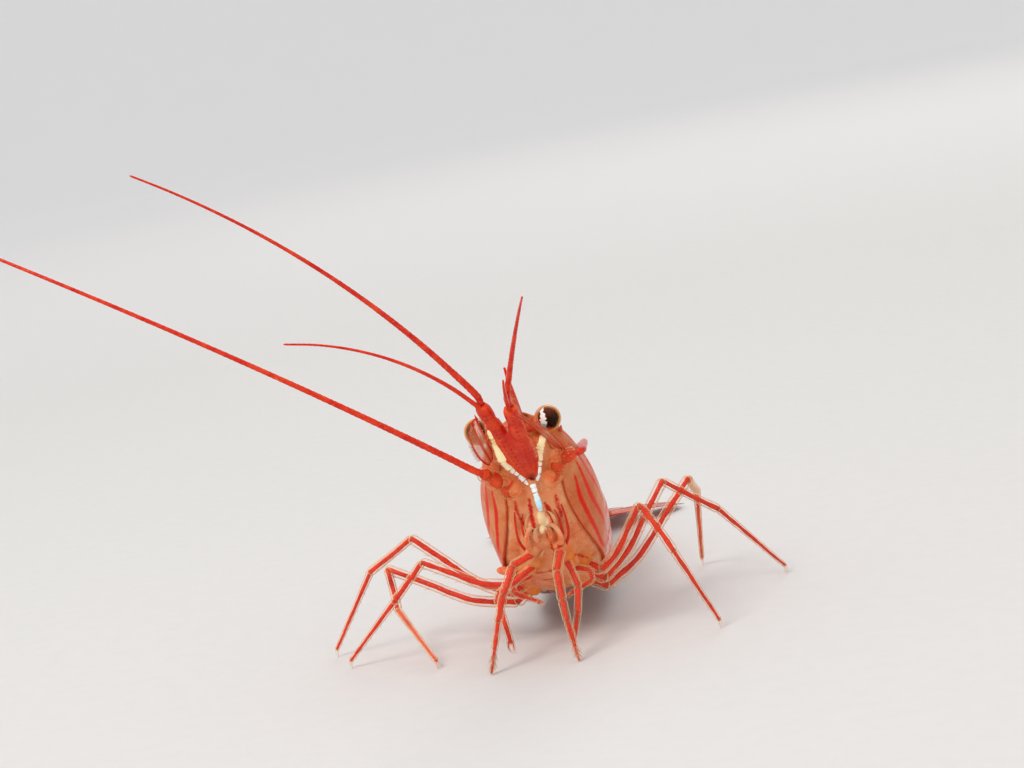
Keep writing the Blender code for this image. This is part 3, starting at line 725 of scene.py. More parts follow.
# Painted on the chest, as (forward, height, left) points and half width: red strokes, and the pale lip.
CHEST_STROKES = (
    (((8.0, 1.75, -1.05), (7.14, 1.6, -1.1), (6.9, 1.2, -0.95), (6.6, 0.8, -0.8), (6.3, 0.5, -0.72)), 0.075),
    (((8.2, 1.6, -0.3), (7.6, 1.25, -0.36), (6.9, 0.8, -0.4), (6.35, 0.45, -0.46)), 0.11),
    (((8.0, 1.7, 1.02), (7.27, 1.6, 0.98), (6.56, 1.2, 1.08)), 0.09),
    (((7.9, 1.45, 0.42), (7.18, 1.02, 0.58), (6.73, 0.71, 0.62), (6.4, 0.6, 0.5)), 0.12),
    (((6.9, 0.9, 0.95), (6.23, 0.55, 0.95), (5.78, 0.2, 0.84), (5.37, 0.0, 0.42)), 0.09),
    (((6.68, 0.62, 0.14), (6.15, 0.28, 0.23), (5.62, 0.0, 0.3), (5.1, -0.3, 0.34)), 0.06),
    (((4.1, -0.35, 0.25), (3.8, -0.35, -0.1), (3.6, -0.3, -0.5), (3.7, -0.25, -0.9)), 0.075),
    (((2.9, -0.3, 0.1), (2.7, -0.3, -0.4), (2.8, -0.3, -0.8)), 0.07),
    (((4.6, -0.1, 1.3), (4.1, 0.0, 1.6), (3.6, 0.1, 1.85)), 0.06),
    (((3.3, -0.1, 1.3), (2.7, 0.0, 1.6), (2.3, 0.1, 1.9)), 0.06),
    (((9.2, 2.3, -0.9), (8.9, 2.0, -1.3), (8.6, 1.9, -1.5)), 0.08),
    (((9.6, 2.6, 1.9), (9.2, 2.3, 1.5), (8.9, 2.0, 1.1)), 0.08),
)
LIP_LINES = (
    (((7.35, 1.1, 0.12), (7.0, 0.8, 0.12), (6.83, 0.7, 0.1)), 0.24),
    (((6.83, 0.7, 0.06), (6.6, 0.55, -0.12), (6.45, 0.5, -0.28)), 0.13),
    (((6.83, 0.7, 0.12), (6.6, 0.55, 0.26), (6.42, 0.48, 0.34)), 0.13),
)


def face_path(knots):
    return [on_face(in_trunk(*knot)) for knot in smooth_path(knots, 0.04)]


def make_chest():
    blank = Blank()
    rings = []
    for forward in evenly(60, 0.35, 10.45):
        _, _, middle, margin, margin_height = smooth_row(CARAPACE, forward)
        low = margin_height - 0.16 - 0.06 * sin(pi * min(1.0, forward / 9.0))
        close = min(1.0, 0.45 + (10.6 - forward) * 0.9)
        rings.append(rounded_ring(forward, (margin + 0.03) * close, low, max(middle + 0.5, low + 0.5), 6.0))
    blank.skin(rings)
    rings = []
    for forward in evenly(49, 0.25, 8.65):
        half, low, high = smooth_row(CHEST, forward)
        rings.append(rounded_ring(forward, half, low, high + 0.5, 2.6))
    blank.skin(rings)
    for centre, sizes in LIMB_ROOTS:
        add_lump(blank, centre, sizes)
        add_lump(blank, centre, sizes, -1)
    for centre, sizes in MOUTH_MASSES:
        add_lump(blank, centre, sizes)
    skin = one_skin(blank.mesh("chest"), 0.06, 4)
    wrinkles = [
        v.normal * (noise.noise(v.co * 2.2) * 0.035 + noise.noise(v.co * 7.0) * 0.012) for v in skin.vertices
    ]
    for vertex, wrinkle in zip(skin.vertices, wrinkles):
        vertex.co += wrinkle
    keep_surface(skin)
    strokes, arcs = [], []
    for knots, half in CHEST_STROKES:
        strokes += drawn(face_path(knots), half)
    for forward, height, left, size, first, last in ANTENNA_ARCS:
        turns = [radians(turn) for turn in evenly(24, first, last)]
        spots = [in_trunk(forward, height + size * cos(turn), left + size * sin(turn)) for turn in turns]
        arcs += drawn([on_face(spot) for spot in spots], 0.045)
    lip = [(face_path(knots), half) for knots, half in LIP_LINES]
    spot = [([on_face(in_trunk(8.95, 2.42, 0.06)), on_face(in_trunk(9.1, 2.55, 0.06))], 0.16)]
    glow = [
        ([in_trunk(0.6, 0.1, sign * 1.6), in_trunk(3.3, 0.0, sign * 1.7), in_trunk(4.6, -0.2, sign * 0.9)],
         0.55)
        for sign in (-1, 1)
    ]
    material = wet_tissue(
        "chest flesh", (0.9, 0.44, 0.21), (0.8, 0.18, 0.045), 520.0, 0.5,
        dots=(((0.95, 0.74, 0.52), 8000.0, 0.28, 0.22), ((0.6, 0.03, 0.008), 11000.0, 0.34, 0.28)),
        lines=(("glow", (0.86, 0.26, 0.035), 0.3, 0.45), ("blush", (0.84, 0.13, 0.015), 0.3, 0.4),
               ("arc", (0.86, 0.13, 0.02), 0.14, 0.05), ("lip", (0.92, 0.66, 0.38), 0.16, 0.06),
               ("stroke", (0.62, 0.014, 0.003), 0.26, 0.075), ("spot", (0.22, 0.004, 0.002), 0.1, 0.05)),
        roughness=0.25, relief=0.3, scatter=0.5, reach=0.0005, coat=0.12,
    )
    marks = {"stroke": strokes, "lip": lip, "spot": spot, "blush": BLUSH, "glow": glow, "arc": arcs}
    marks = {mark: line_field(lines) for mark, lines in marks.items()}
    finish_piece("chest_skin", skin, material, ("underside",), marks)


make_chest()

# ---- Small mouthparts ----------------------------------------------------------------------------
# Folded pairs of small soft limbs that guide food to the jaws: short bent second maxillipeds, leafy first
# ones and thin red whips curling up beside the mouth. Each: points (forward, height, left), radii, flatness.
MOUTHPARTS = (
    (((5.95, 0.0, 0.66), (6.35, -0.02, 0.84), (6.85, 0.3, 0.8), (7.08, 0.58, 0.54), (6.9, 0.6, 0.26)),
     (0.15, 0.18, 0.15, 0.13, 0.05), 0.7),
    (((6.25, 0.12, 0.26), (6.55, 0.24, 0.38), (6.85, 0.46, 0.34), (7.02, 0.62, 0.2)),
     (0.12, 0.17, 0.15, 0.05), 0.45),
    (((6.6, 0.4, 0.62), (7.0, 0.72, 0.72), (7.35, 1.04, 0.62), (7.5, 1.2, 0.42)),
     (0.09, 0.12, 0.1, 0.04), 0.6),
    (((5.2, -0.12, 0.5), (5.5, -0.16, 0.3), (5.7, -0.05, 0.16)), (0.1, 0.12, 0.04), 0.6),
)
# A soft lobe that hangs out beside the leg roots on the right.
LOBE = ((3.4, 0.15, -1.95), (3.5, 0.22, -2.45), (3.5, 0.36, -2.9))
MOUTH_WHIPS = (
    (((5.75, -0.05, 1.0), (6.4, 0.35, 1.28), (7.2, 1.1, 1.26), (7.9, 1.75, 1.08)),
     (0.075, 0.065, 0.05, 0.015), 1.0),
    (((6.3, 0.25, 0.85), (6.8, 0.6, 0.98), (7.3, 1.15, 0.86), (7.5, 1.45, 0.66)),
     (0.06, 0.055, 0.04, 0.012), 1.0),
)


def make_mouthparts():
    soft, whips = Blank(), Blank()
    for group, blank, sides in ((MOUTHPARTS, soft, 18), (MOUTH_WHIPS, whips, 10)):
        for sign in (-1, 1):
            for spots, radii, flat in group:
                path = smooth_path([in_trunk(f, h, sign * x) for f, h, x in spots], 0.05)
                rows = list(zip(evenly(len(radii) - 1), radii))
                widths = [smooth_row(rows, share)[0] for share in evenly(len(path) - 1)]
                widths[0] *= 0.6
                blank.skin(sweep(path, widths, sides, flat, FACE_WAY))
    path = [in_trunk(*spot) for spot in smooth_path(LOBE, 0.08)]
    soft.skin(sweep(path, [0.34 * sqrt(1 - (i / (len(path) - 0.6)) ** 4) for i in range(len(path))], 18, 0.7))
    leaf_flesh = wet_tissue(
        "mouthpart flesh", (0.93, 0.5, 0.27), (0.8, 0.16, 0.045), 900.0, 0.5,
        dots=(((0.58, 0.02, 0.006), 11000.0, 0.36, 0.3), ((0.97, 0.8, 0.62), 8000.0, 0.3, 0.2)), scatter=0.6,
    )
    whip_flesh = wet_tissue(
        "mouth whip", (0.78, 0.06, 0.015), (0.52, 0.01, 0.003), 1400.0, 0.5, scatter=0.4, reach=0.0003
    )
    parts = one_skin(soft.mesh("mouthparts"), 0.035, 2)
    keep_surface(parts)
    finish_piece("mouthparts", parts, leaf_flesh)
    finish_piece("mouth_whips", whips.mesh("mouth_whips"), whip_flesh)


make_mouthparts()

# ---- Eyes and their stalks -----------------------------------------------------------------------
# A dark ball of pigment in a clear round cornea, carried on a short fleshy stalk. Where the ball meets the
# stalk a mirror-bright crescent, white above and blue-green below, faces forward; a red patch lies under it.
EYE_RADIUS = 0.68
STALK_ROOT = (10.75, 4.25, 0.3)
SIDES = (("right", -1), ("left", 1))


EYE_FACET_SCALE = 21000.0
CRESCENT_LEAN, CRESCENT_HALF = radians(24), radians(17)
# Colours of the eye's marks from the lowest layer up: colour, ragged and soft edge.
# The first mark, upper, is a painted sheen: dark red laid over the top of the ball as a highlight there.
EYE_MARKS = (
    ("upper", (0.11, 0.022, 0.012), 0.3, 0.22), ("rim", (0.4, 0.13, 0.02), 0.04, 0.05),
    ("red", (0.6, 0.012, 0.004), 0.08, 0.05), ("blue", (0.3, 0.8, 0.86), 0.07, 0.02),
    ("white", (1.0, 1.0, 0.93), 0.1, 0.02),
)


def sphere_rings(centre, axis, radius, end, count, rows):
    """Rings of a ball about an axis, from the axis to an angle away from it."""
    across = axis.cross(Vector((0.0, 0.0, 1.0))).normalized()
    over = across.cross(axis)
    turns = [tau * k / count for k in range(count)]
    rings = []
    for angle in evenly(rows, 0.0, end):
        angle = min(pi - 0.02, max(0.02, angle))
        middle, reach = centre + axis * radius * cos(angle), radius * sin(angle)
        rings.append([middle + (across * cos(turn) + over * sin(turn)) * reach for turn in turns])
    return rings


def glass_skin(name, tint, alpha, clear_to, dense_at, roughness, ior=1.4):
    """A clear wet cuticle: see-through in the middle, denser where the sight line runs along it."""
    material, tree, shader = new_material(name)
    deep = [channel * 0.8 for channel in tint]
    drift = {"Pale": (*tint, 1.0), "Deep": (*deep, 1.0), "Scale": 900.0, "Balance": 0.45}
    facing = shader_node(tree, "ShaderNodeLayerWeight", {"Blend": 0.35}).outputs["Facing"]
    limits = {"From Min": clear_to, "From Max": dense_at, "To Min": alpha, "To Max": 1.0}
    opacity = remap(tree, facing, limits, smooth=True)
    colour = place_group(tree, tissue_drift, drift)["Colour"]
    surface = place_group(tree, wet_relief, {"Strength": 0.12, "Roughness": roughness + 0.04})
    set_shader(
        tree, shader, Base_Color=colour, Roughness=surface["Roughness"], Normal=surface["Normal"],
        Alpha=opacity, IOR=ior, Specular_IOR_Level=0.3, Coat_Weight=0.12, Coat_Roughness=0.04,
    )
    return material


def eye_pigment():
    """Near black, made of fine facets, with the bright marks and a painted dark red sheen on its top laid
    over.
    """
    material, tree, shader = new_material("eye pigment")
    inputs = {"Vector": own_place(tree), "Scale": EYE_FACET_SCALE}
    facets = shader_node(tree, "ShaderNodeTexVoronoi", inputs).outputs["Distance"]
    colour = blend(tree, facets, (0.014, 0.004, 0.003), (0.003, 0.001, 0.001))
    for mark, tone, ragged, soft in EYE_MARKS:
        colour = blend(tree, line_mask(tree, mark, ragged, soft), colour, tone)
    dimple = shader_node(tree, "ShaderNodeBump", {"Strength": 0.25, "Distance": 0.00002, "Height": facets})
    set_shader(
        tree, shader, Base_Color=colour, Roughness=remap(tree, facets, {"To Min": 0.12, "To Max": 0.3}),
        Normal=dimple.outputs["Normal"], Specular_IOR_Level=0.05,
    )
    return material


def eye_marks(point, centre, glance, ahead, crown):
    """How far outside each mark a point of the ball lies, 0 at the mark's edge."""
    offset = (point - centre).normalized()
    angle = acos(max(-1, min(1, offset.dot(glance))))
    front, high = offset.dot(ahead), offset.dot(crown)
    inner = radians(79 + 12 * noise.noise(Vector((high * 6.0, 1.0, 4.0))) + 14 * high * high)
    band = abs(angle - inner - CRESCENT_HALF) - CRESCENT_HALF * sqrt(max(0.0, 1 - (high / 0.98) ** 2))
    crescent = max(band, -front * 0.8 - 0.05) * 0.6
    foot = (high + 0.24) * 0.6
    return {
        # upper: a painted sheen over the top of the ball.
        "upper": 0.35 - high * 0.6 - abs(noise.noise(point * 3.0)) * 0.2,
        "rim": 0.55 * (radians(128) - angle),
        "red": max(high * 0.6 + 0.35, 0.4 * (radians(62) - angle), -front * 0.5),
        "blue": max(crescent, foot),
        "white": max(crescent, -foot),
    }


def make_eyes():
    ball_material = eye_pigment()
    stalk_material = wet_tissue(
        "eyestalk flesh", (0.88, 0.34, 0.18), (0.66, 0.06, 0.02), 700.0, 0.55,
        dots=(((0.56, 0.02, 0.006), 12000.0, 0.4, 0.45),), lines=(("red", RED_LINE, 0.1, 0.05),),
    )
    cornea_material = glass_skin("cornea", (0.92, 0.36, 0.07), 0.02, 0.2, 0.55, 0.0, 1.36)
    for side, sign in SIDES:
        centre = in_trunk(*EYE_PLACES[side])
        forward, height, out = STALK_ROOT
        root = in_trunk(forward, height, sign * out)
        axis = (centre - root).normalized()
        ahead = trunk_way(0.8, -0.6)
        ahead = (ahead - axis * ahead.dot(axis)).normalized()
        over = axis.cross(ahead) * -sign
        glance = axis * cos(CRESCENT_LEAN) - over * sin(CRESCENT_LEAN)
        crown = over * cos(CRESCENT_LEAN) + axis * sin(CRESCENT_LEAN)

        blank = Blank()
        blank.skin(sphere_rings(centre + axis * 0.03, axis, EYE_RADIUS * 0.85, pi, 72, 64))
        ball = blank.mesh("eye_ball_" + side)
        rows = [eye_marks(v.co, centre, glance, ahead, crown) for v in ball.vertices]
        marks = {mark: [row[mark] for row in rows] for mark in rows[0]}
        finish_piece("eye_ball_" + side, ball, ball_material, ("eye_" + side,), marks)

        blank = Blank()
        blank.skin(sphere_rings(centre - axis * 0.02, axis, EYE_RADIUS, radians(150), 48, 36))
        finish_piece("cornea_" + side, blank.mesh("cornea_" + side), cornea_material)

        blank = Blank()
        path = [between(root, centre, t) for t in (-0.2, 0.0, 0.2, 0.4, 0.6, 0.75, 0.86)]
        blank.skin(sweep(path, (0.16, 0.24, 0.28, 0.34, 0.45, 0.5, 0.42), 24))
        stalk = one_skin(blank.mesh("eyestalk_" + side), 0.05, 4)
        under = [([centre + over * -0.35 + ahead * 0.25 - axis * 0.45, root + over * -0.1], 0.16)]
        finish_piece("eyestalk_flesh_" + side, stalk, stalk_material, ("eyestalk_" + side,),
                     {"red": line_field(under)})


make_eyes()

# ---- Antennules: stalks and feelers --------------------------------------------------------------
# The upper, shorter feelers. Each has a stalk of three joints, the first long and broad; side by side the two
# stalks make a bright vermilion wedge. A pair of thin ringed feelers leaves the end of each stalk.
ANTENNULE_ROOTS = {"right": (8.95, 2.38, -0.1), "left": (9.0, 2.42, 0.26)}
ANTENNULE_ENDS = {"right": (13.9, 4.2, -1.5), "left": (14.0, 3.75, -0.1)}
# The flesh between the stalks, from the wedge's tip upwards, and where the feelers' first rings aim from.
WEDGE_KEEL = (
    (8.95, 2.35, 0.07), (9.7, 2.55, 0.0), (10.8, 2.95, -0.2), (11.6, 3.25, -0.38), (12.1, 3.55, -0.5),
)
FEELER_AIMS = {"right": (9.2, 2.5, -0.19), "left": (9.2, 2.5, 0.36)}
# Along a stalk: share of its length and radius, with a waist at each joint.
ANTENNULE_JOINTS = (
    (0.0, 0.1), (0.08, 0.24), (0.2, 0.38), (0.4, 0.47), (0.53, 0.45), (0.575, 0.38), (0.6, 0.36),
    (0.63, 0.41), (0.76, 0.42), (0.795, 0.35), (0.81, 0.33), (0.84, 0.38), (0.95, 0.39), (1.0, 0.3),
)
# Feelers: length, heading (0 ahead, positive to the animal's left), rise, and how far both turn on the way.
ANTENNULE_FEELERS = {
    "outer_right": (20.0, -68.0, 56.0, -6.0, -24.0),
    "inner_right": (10.3, -72.0, 50.0, -4.0, -40.0),
    "outer_left": (9.8, 24.0, 52.0, -14.0, -34.0),
    "inner_left": (5.6, 3.0, 28.0, 4.0, -10.0),
}


def pointing(heading, rise, sign=1):
    """A direction: heading 0 is ahead and 90 is out to the given side."""
    level = cos(radians(rise))
    return Vector((sign * sin(radians(heading)) * level, -cos(radians(heading)) * level, sin(radians(rise))))


def feeler_path(start, length, heading, rise, heading_turn, rise_turn):
    steps = max(6, round(length / 1.6))
    steps += steps % 2
    path = [start]
    for step in range(steps):
        share = (step + 0.5) / steps
        way = pointing(heading + heading_turn * share, rise + rise_turn * share)
        path.append(path[-1] + way * length / steps)
    return path


def ringed_feeler(knots, thick, tip, ring_length):
    """A feeler of many short rings, each a little wider at its outer end, tapering to its tip."""
    path = smooth_path(knots, 0.09)
    travelled, radii, along = 0.0, [], []
    total = sum((b - a).length for a, b in zip(path, path[1:]))
    for i, point in enumerate(path):
        travelled += (point - path[i - 1]).length if i else 0.0
        share = travelled / total
        phase = (travelled / ring_length) % 1.0
        radii.append(between(thick, tip, share ** 0.75) * (0.93 + 0.13 * phase))
        along.append(share)
    radii[-1] *= 0.4
    blank = Blank("along")
    blank.skin(sweep(path, radii, 8), along=along)
    return blank


feeler_material = wet_tissue(
    "feeler cuticle", (0.8, 0.07, 0.016), (0.58, 0.014, 0.004), 1500.0, 0.55,
    dots=(((0.9, 0.3, 0.12), 10000.0, 0.32, 0.18),), roughness=0.24, relief=0.2, scatter=0.35, reach=0.0003,
)


def make_antennules():
    stalk_material = wet_tissue(
        "antennule flesh", (0.84, 0.095, 0.016), (0.62, 0.018, 0.003), 600.0, 0.5,
        dots=(((0.92, 0.26, 0.09), 9000.0, 0.3, 0.2), ((0.42, 0.005, 0.002), 12000.0, 0.4, 0.35)),
        # The pale line is a painted highlight along the outer side of each stalk.
        lines=(("pale", (0.95, 0.42, 0.2), 0.22, 0.16), ("streak", (0.46, 0.005, 0.001), 0.16, 0.07),
               ("tip", (0.26, 0.003, 0.001), 0.2, 0.22)),
        roughness=0.2, relief=0.3, scatter=0.5, reach=0.0007, coat=0.3,
    )
    blank = Blank()
    streaks, pale = [], []
    below = trunk_way(0, -0.42)
    for side, sign in SIDES:
        root, end = in_trunk(*ANTENNULE_ROOTS[side]), in_trunk(*ANTENNULE_ENDS[side])
        stalk = [between(root, end, share) for share in evenly(60)]
        blank.skin(sweep(stalk, [smooth_row(ANTENNULE_JOINTS, share)[0] for share in evenly(60)], 24, 0.92))
        aside = Vector((sign * 0.4, 0.0, 0.0)) + trunk_way(0, -0.15)
        leaf = aside * 0.35 + (end - root).normalized()
        leaf_root = between(root, end, 0.22) + aside * 0.7
        leaf_path = [leaf_root + leaf * t for t in (0.0, 0.3, 0.7, 1.1, 1.4, 1.6)]
        blank.skin(sweep(leaf_path, (0.1, 0.19, 0.18, 0.13, 0.07, 0.015), 14, 0.6))
        for shift in (-0.22, 0.02, 0.24):
            beside = below + Vector((shift, 0, 0))
            streaks.append(([between(root, end, share) + beside for share in evenly(17, 0.1, 0.95)], 0.05))
        # A painted highlight: a pale line along the outer side of the stalk.
        edge = Vector((sign * 0.46, 0, 0)) + below * 0.3
        pale.append(([between(root, end, share) + edge for share in evenly(12, 0.34, 0.94)], 0.07))
    keel = [in_trunk(*spot) for spot in smooth_path(WEDGE_KEEL, 0.1)]
    swell = [sin(pi * min(1.0, i / len(keel)) * 0.8) for i in range(len(keel))]
    blank.skin(sweep(keel, [between(0.14, 0.4, share) for share in swell], 20, 0.9))
    stalks = one_skin(blank.mesh("antennule_stalks"), 0.045, 3)
    keep_surface(stalks)
    tip = [([in_trunk(8.9, 2.0, 0.05), in_trunk(9.35, 2.2, 0.04)], 0.22)]
    finish_piece("antennule_stalks", stalks, stalk_material,
                 ("antennule_stalk_right", "antennule_stalk_left"),
                 {"streak": line_field(streaks), "pale": line_field(pale), "tip": line_field(tip)})
    for side, _ in SIDES:
        end = in_trunk(*ANTENNULE_ENDS[side])
        way = (end - in_trunk(*FEELER_AIMS[side])).normalized()
        for kind, lift, thick in (("outer", 0.3, 0.19), ("inner", -0.28, 0.13)):
            name = "%s_%s" % (kind, side)
            upward = Vector((0.0, 0.0, lift))
            path = feeler_path(end + way * 0.26 + upward, *ANTENNULE_FEELERS[name])
            blank = ringed_feeler([end + upward * 0.5 - way * 0.1] + path, thick, 0.05, 0.26)
            finish_piece("antennule_feeler_" + name, blank.mesh("feeler"), feeler_material,
                         ("antennule_" + name,), blank.marks)


make_antennules()

# ---- Antennae: joints, scales and long feelers ---------------------------------------------------
# The lower, longer feelers stand on short round joints beside the mouth. Over each lies a clear leaf, the
# antennal scale, stiff along its outer edge and ending there in a point, with red pigment in margins and rib.
ANTENNA_JOINTS = {
    "right": ((8.6, 1.8, -1.0), (9.15, 2.2, -1.5), (9.75, 2.5, -1.95), (10.15, 2.52, -2.3)),
    "left": ((8.95, 2.0, 1.0), (9.3, 2.4, 1.3), (9.65, 2.75, 1.6), (9.8, 2.9, 2.42)),
}
ANTENNA_RADII = (0.44, 0.5, 0.42)
JOINT_PROFILE = ((0.0, 0.55), (0.15, 0.88), (0.5, 1.0), (0.85, 0.95), (1.0, 0.72))
ANTENNA_FEELERS = {"right": (38.0, -84.0, 38.0, -28.0, -12.0), "left": (38.0, 180.0, -5.0, 18.0, -16.0)}
# Scales: root, tip and how far the outer edge hangs.
SCALES = {
    "right": ((9.95, 3.15, -1.82), (14.5, 3.0, -2.0), 56.0),
    "left": ((10.0, 3.15, 1.85), (14.7, 2.95, 0.35), 34.0),
}
# Along a scale: share of its length, then how far out the stiff outer edge and the soft inner edge lie.
SCALE_EDGES = (
    (0.0, 0.22, 0.2), (0.1, 0.4, 0.36), (0.3, 0.5, 0.5), (0.6, 0.5, 0.56), (0.85, 0.46, 0.48),
    (0.94, 0.42, 0.35), (1.0, 0.28, 0.1),
)


def add_leaf(blank, root, tip, up, edges, thick, bow, rib=0.12, margin=0.075, rows=48, columns=20):
    """A thin leaf with a rib and thick margins. Edges are (share, outer, inner) half widths; the outer edge
    lies towards positive. Gives back where a share of length and width lies, and the leaf's directions."""
    along = (tip - root).normalized()
    across = along.cross(up).normalized()
    normal = across.cross(along).normalized()
    length, first = (tip - root).length, len(blank.points)

    def spot(share, t):
        outer, inner = smooth_row(edges, share)
        lift = bow * sin(pi * share) - 0.9 * thick * t * t
        return between(root, tip, share) + across * (inner if t < 0 else outer) * t + normal * lift

    rings, inlands = [], []
    for share in evenly(rows):
        outer, inner = smooth_row(edges, share)
        ring, inland_row = [], []
        for j in range(columns * 2):
            t = -1 + 2 * (j if j <= columns else columns * 2 - j) / columns
            swell = thick * (0.5 + max(0.0, 1 - abs(t - rib) / 0.14) + max(0.0, (abs(t) - 0.86) / 0.14))
            swell *= (1 if j <= columns else -1) * (1 - 0.5 * share) * sqrt(max(0.0, 1 - t**6))
            ring.append(spot(share, t) + normal * swell)
            inland = (inner if t < 0 else outer) * (1 - abs(t))
            inland = min(inland, (1 - share) * length * 0.7 + 0.02) - margin
            inland_row.append(min(inland, abs(t - rib) * outer - margin * 0.5))
        rings.append(ring)
        inlands.append(inland_row)
    blank.skin(rings)
    blank.marks["margin"][first:] = [inland for row in inlands for inland in row]
    return spot, along, across, normal


def fringe(blank, spot, along, across, shares, sides, length, thick, chance):
    """Swimming hairs along the edges of a leaf, leaning towards its tip."""
    for share in shares:
        for t in sides:
            way = (along * between(0.8, 2.6, share ** 2) + across * t).normalized()
            own = length * (0.8 + 0.4 * chance.random())
            spine(blank, spot(share, t * 0.97), way, own, thick, 0.06, 1.0, 3, margin=0.3)


def mirrored(edges, sign):
    """Edges of a leaf for either side of the body."""
    return edges if sign > 0 else [(share, inner, outer) for share, outer, inner in edges]


def leaf_tissue(name, pale, deep, line, soft, fade, clearness, dots, roughness):
    """A thin see-through leaf with denser red ribs and margins."""
    material = wet_tissue(
        name, pale, deep, 600.0, dots=(dots,), lines=(("margin", line, 0.06, soft),), roughness=roughness,
        scatter=0.3, reach=0.0004,
    )
    tree = material.node_tree
    opacity = remap(tree, line_mask(tree, "margin", 0.06, fade), {"To Min": clearness, "To Max": 0.97})
    set_shader(tree, tree.nodes["Principled BSDF"], Alpha=opacity)
    return material


def make_scale(side, sign, material):
    root_place, tip_place, tilt = SCALES[side]
    up = trunk_way(0, cos(radians(tilt)), sign * sin(radians(tilt)))
    blank = Blank("margin")
    spot, along, across, _ = add_leaf(
        blank, in_trunk(*root_place), in_trunk(*tip_place), up, mirrored(SCALE_EDGES, sign), 0.055, 0.12,
        0.12 * sign, 0.115,
    )
    spine(blank, spot(0.92, sign * 0.95), along, 0.55, 0.07, 0.0, 0.7, 8, margin=-0.1)
    shares, chance = evenly(89, 0.25, 0.99), random.Random(11 + sign)
    fringe(blank, spot, along, across, shares, (-sign,), 0.4, 0.013, chance)
    finish_piece("antennal_leaf_" + side, blank.mesh("leaf"), material,
                 ("antenna_scale_" + side,), blank.marks)


def make_antennae():
    scale_material = leaf_tissue(
        "antennal scale", (0.86, 0.4, 0.24), (0.74, 0.2, 0.09), (0.66, 0.014, 0.003), 0.045, 0.06, 0.42,
        ((0.56, 0.02, 0.006), 12000.0, 0.36, 0.35), 0.16,
    )
    joint_material = glass_skin("antenna joint cuticle", (0.98, 0.34, 0.08), 0.07, 0.22, 0.75, 0.06)
    core_material = wet_tissue(
        "antenna joint flesh", (0.84, 0.08, 0.014), (0.58, 0.01, 0.002), 1100.0, 0.52,
        dots=(((0.95, 0.48, 0.24), 9000.0, 0.32, 0.2),), scatter=0.5, reach=0.0006,
    )
    for side, sign in SIDES:
        make_scale(side, sign, scale_material)
        knots = [in_trunk(*spot) for spot in ANTENNA_JOINTS[side]]
        outer, inner = Blank(), Blank()
        for a, b, radius in zip(knots, knots[1:], ANTENNA_RADII):
            shares = evenly(20)
            path = [between(a, b, -0.06 + 1.14 * share) for share in shares]
            radii = [radius * smooth_row(JOINT_PROFILE, share)[0] for share in shares]
            radii[0], radii[-1] = radii[0] * 0.5, radii[-1] * 0.6
            core = [r * (0.76 - 0.2 * abs(2 * share - 1)) for r, share in zip(radii, shares)]
            outer.skin(sweep(path, radii, 24))
            inner.skin(sweep(path[1:-1], core[1:-1], 18))
        spine_root = between(knots[0], knots[1], 0.6) + trunk_way(0, -0.32, sign * 0.26)
        spine(outer, spine_root, trunk_way(0.8, -0.1, sign * 0.5).normalized(), 0.5, 0.12, 0.0, 0.8, 8)
        finish_piece("antenna_joints_" + side, outer.mesh("joints"), joint_material,
                     ("antenna_stalk_" + side,))
        finish_piece("antenna_joint_flesh_" + side, inner.mesh("flesh"), core_material)
        outward = (knots[-1] - knots[-2]).normalized()
        path = feeler_path(knots[-1] + outward * 0.36, *ANTENNA_FEELERS[side])
        blank = ringed_feeler([knots[-1] - outward * 0.25] + path, 0.19, 0.055, 0.3)
        finish_piece("antenna_feeler_" + side, blank.mesh("feeler"), feeler_material,
                     ("antenna_%s_near" % side, "antenna_%s_far" % side), blank.marks)


make_antennae()

# ---- White Y of the face -------------------------------------------------------------------------
# Its material adds a faint painted glow to the deposit's own colours.
# A mirror-like deposit under the cuticle of the face, broken into blocks like enamel: an arm down the inner
# side of each antenna, and from the tip of the red wedge, where they meet, a stem to the mouth, turning blue.
# Blocks: start, end (forward, height, left), half width at each, coolness from cream 0 over white to blue 1.
Y_BLOCKS = (
    ((11.0, 4.42, -1.56), (9.5, 3.38, -1.16), 0.13, 0.3, 0.1),
    ((9.5, 3.38, -1.16), (9.08, 3.06, -0.94), 0.29, 0.2, 0.26),
    ((9.04, 3.06, -0.91), (8.92, 2.97, -0.76), 0.17, 0.18, 0.42),
    ((8.9, 2.96, -0.72), (8.83, 2.82, -0.6), 0.17, 0.15, 0.5),
    ((8.81, 2.78, -0.56), (8.72, 2.48, -0.36), 0.15, 0.16, 0.55),
    ((8.71, 2.44, -0.32), (8.7, 2.24, -0.18), 0.14, 0.1, 0.55),
    ((10.15, 3.98, 0.98), (9.7, 3.52, 0.68), 0.17, 0.21, 0.12),
    ((9.68, 3.5, 0.67), (9.2, 3.18, 0.54), 0.2, 0.18, 0.2),
    ((9.16, 3.15, 0.52), (8.97, 3.02, 0.48), 0.15, 0.15, 0.38),
    ((8.94, 3.0, 0.46), (8.76, 2.72, 0.38), 0.13, 0.16, 0.45),
    ((8.75, 2.68, 0.36), (8.7, 2.36, 0.22), 0.14, 0.12, 0.52),
    ((8.7, 2.22, 0.0), (8.65, 2.04, 0.03), 0.14, 0.17, 0.6),
    ((8.64, 2.02, 0.04), (8.46, 1.84, 0.06), 0.15, 0.14, 0.6),
    ((8.44, 1.82, 0.06), (8.06, 1.55, 0.1), 0.12, 0.16, 0.7),
    ((8.08, 1.56, 0.1), (7.55, 1.22, 0.13), 0.16, 0.11, 0.88),
)


# Colours of the deposit by coolness, from cream to blue.
Y_COLOURS = (
    (0.1, (1.0, 0.78, 0.34)), (0.34, (1.0, 0.93, 0.58)), (0.55, (0.95, 1.0, 0.9)),
    (0.78, (0.82, 0.98, 0.98)), (1.0, (0.48, 0.76, 0.9)),
)


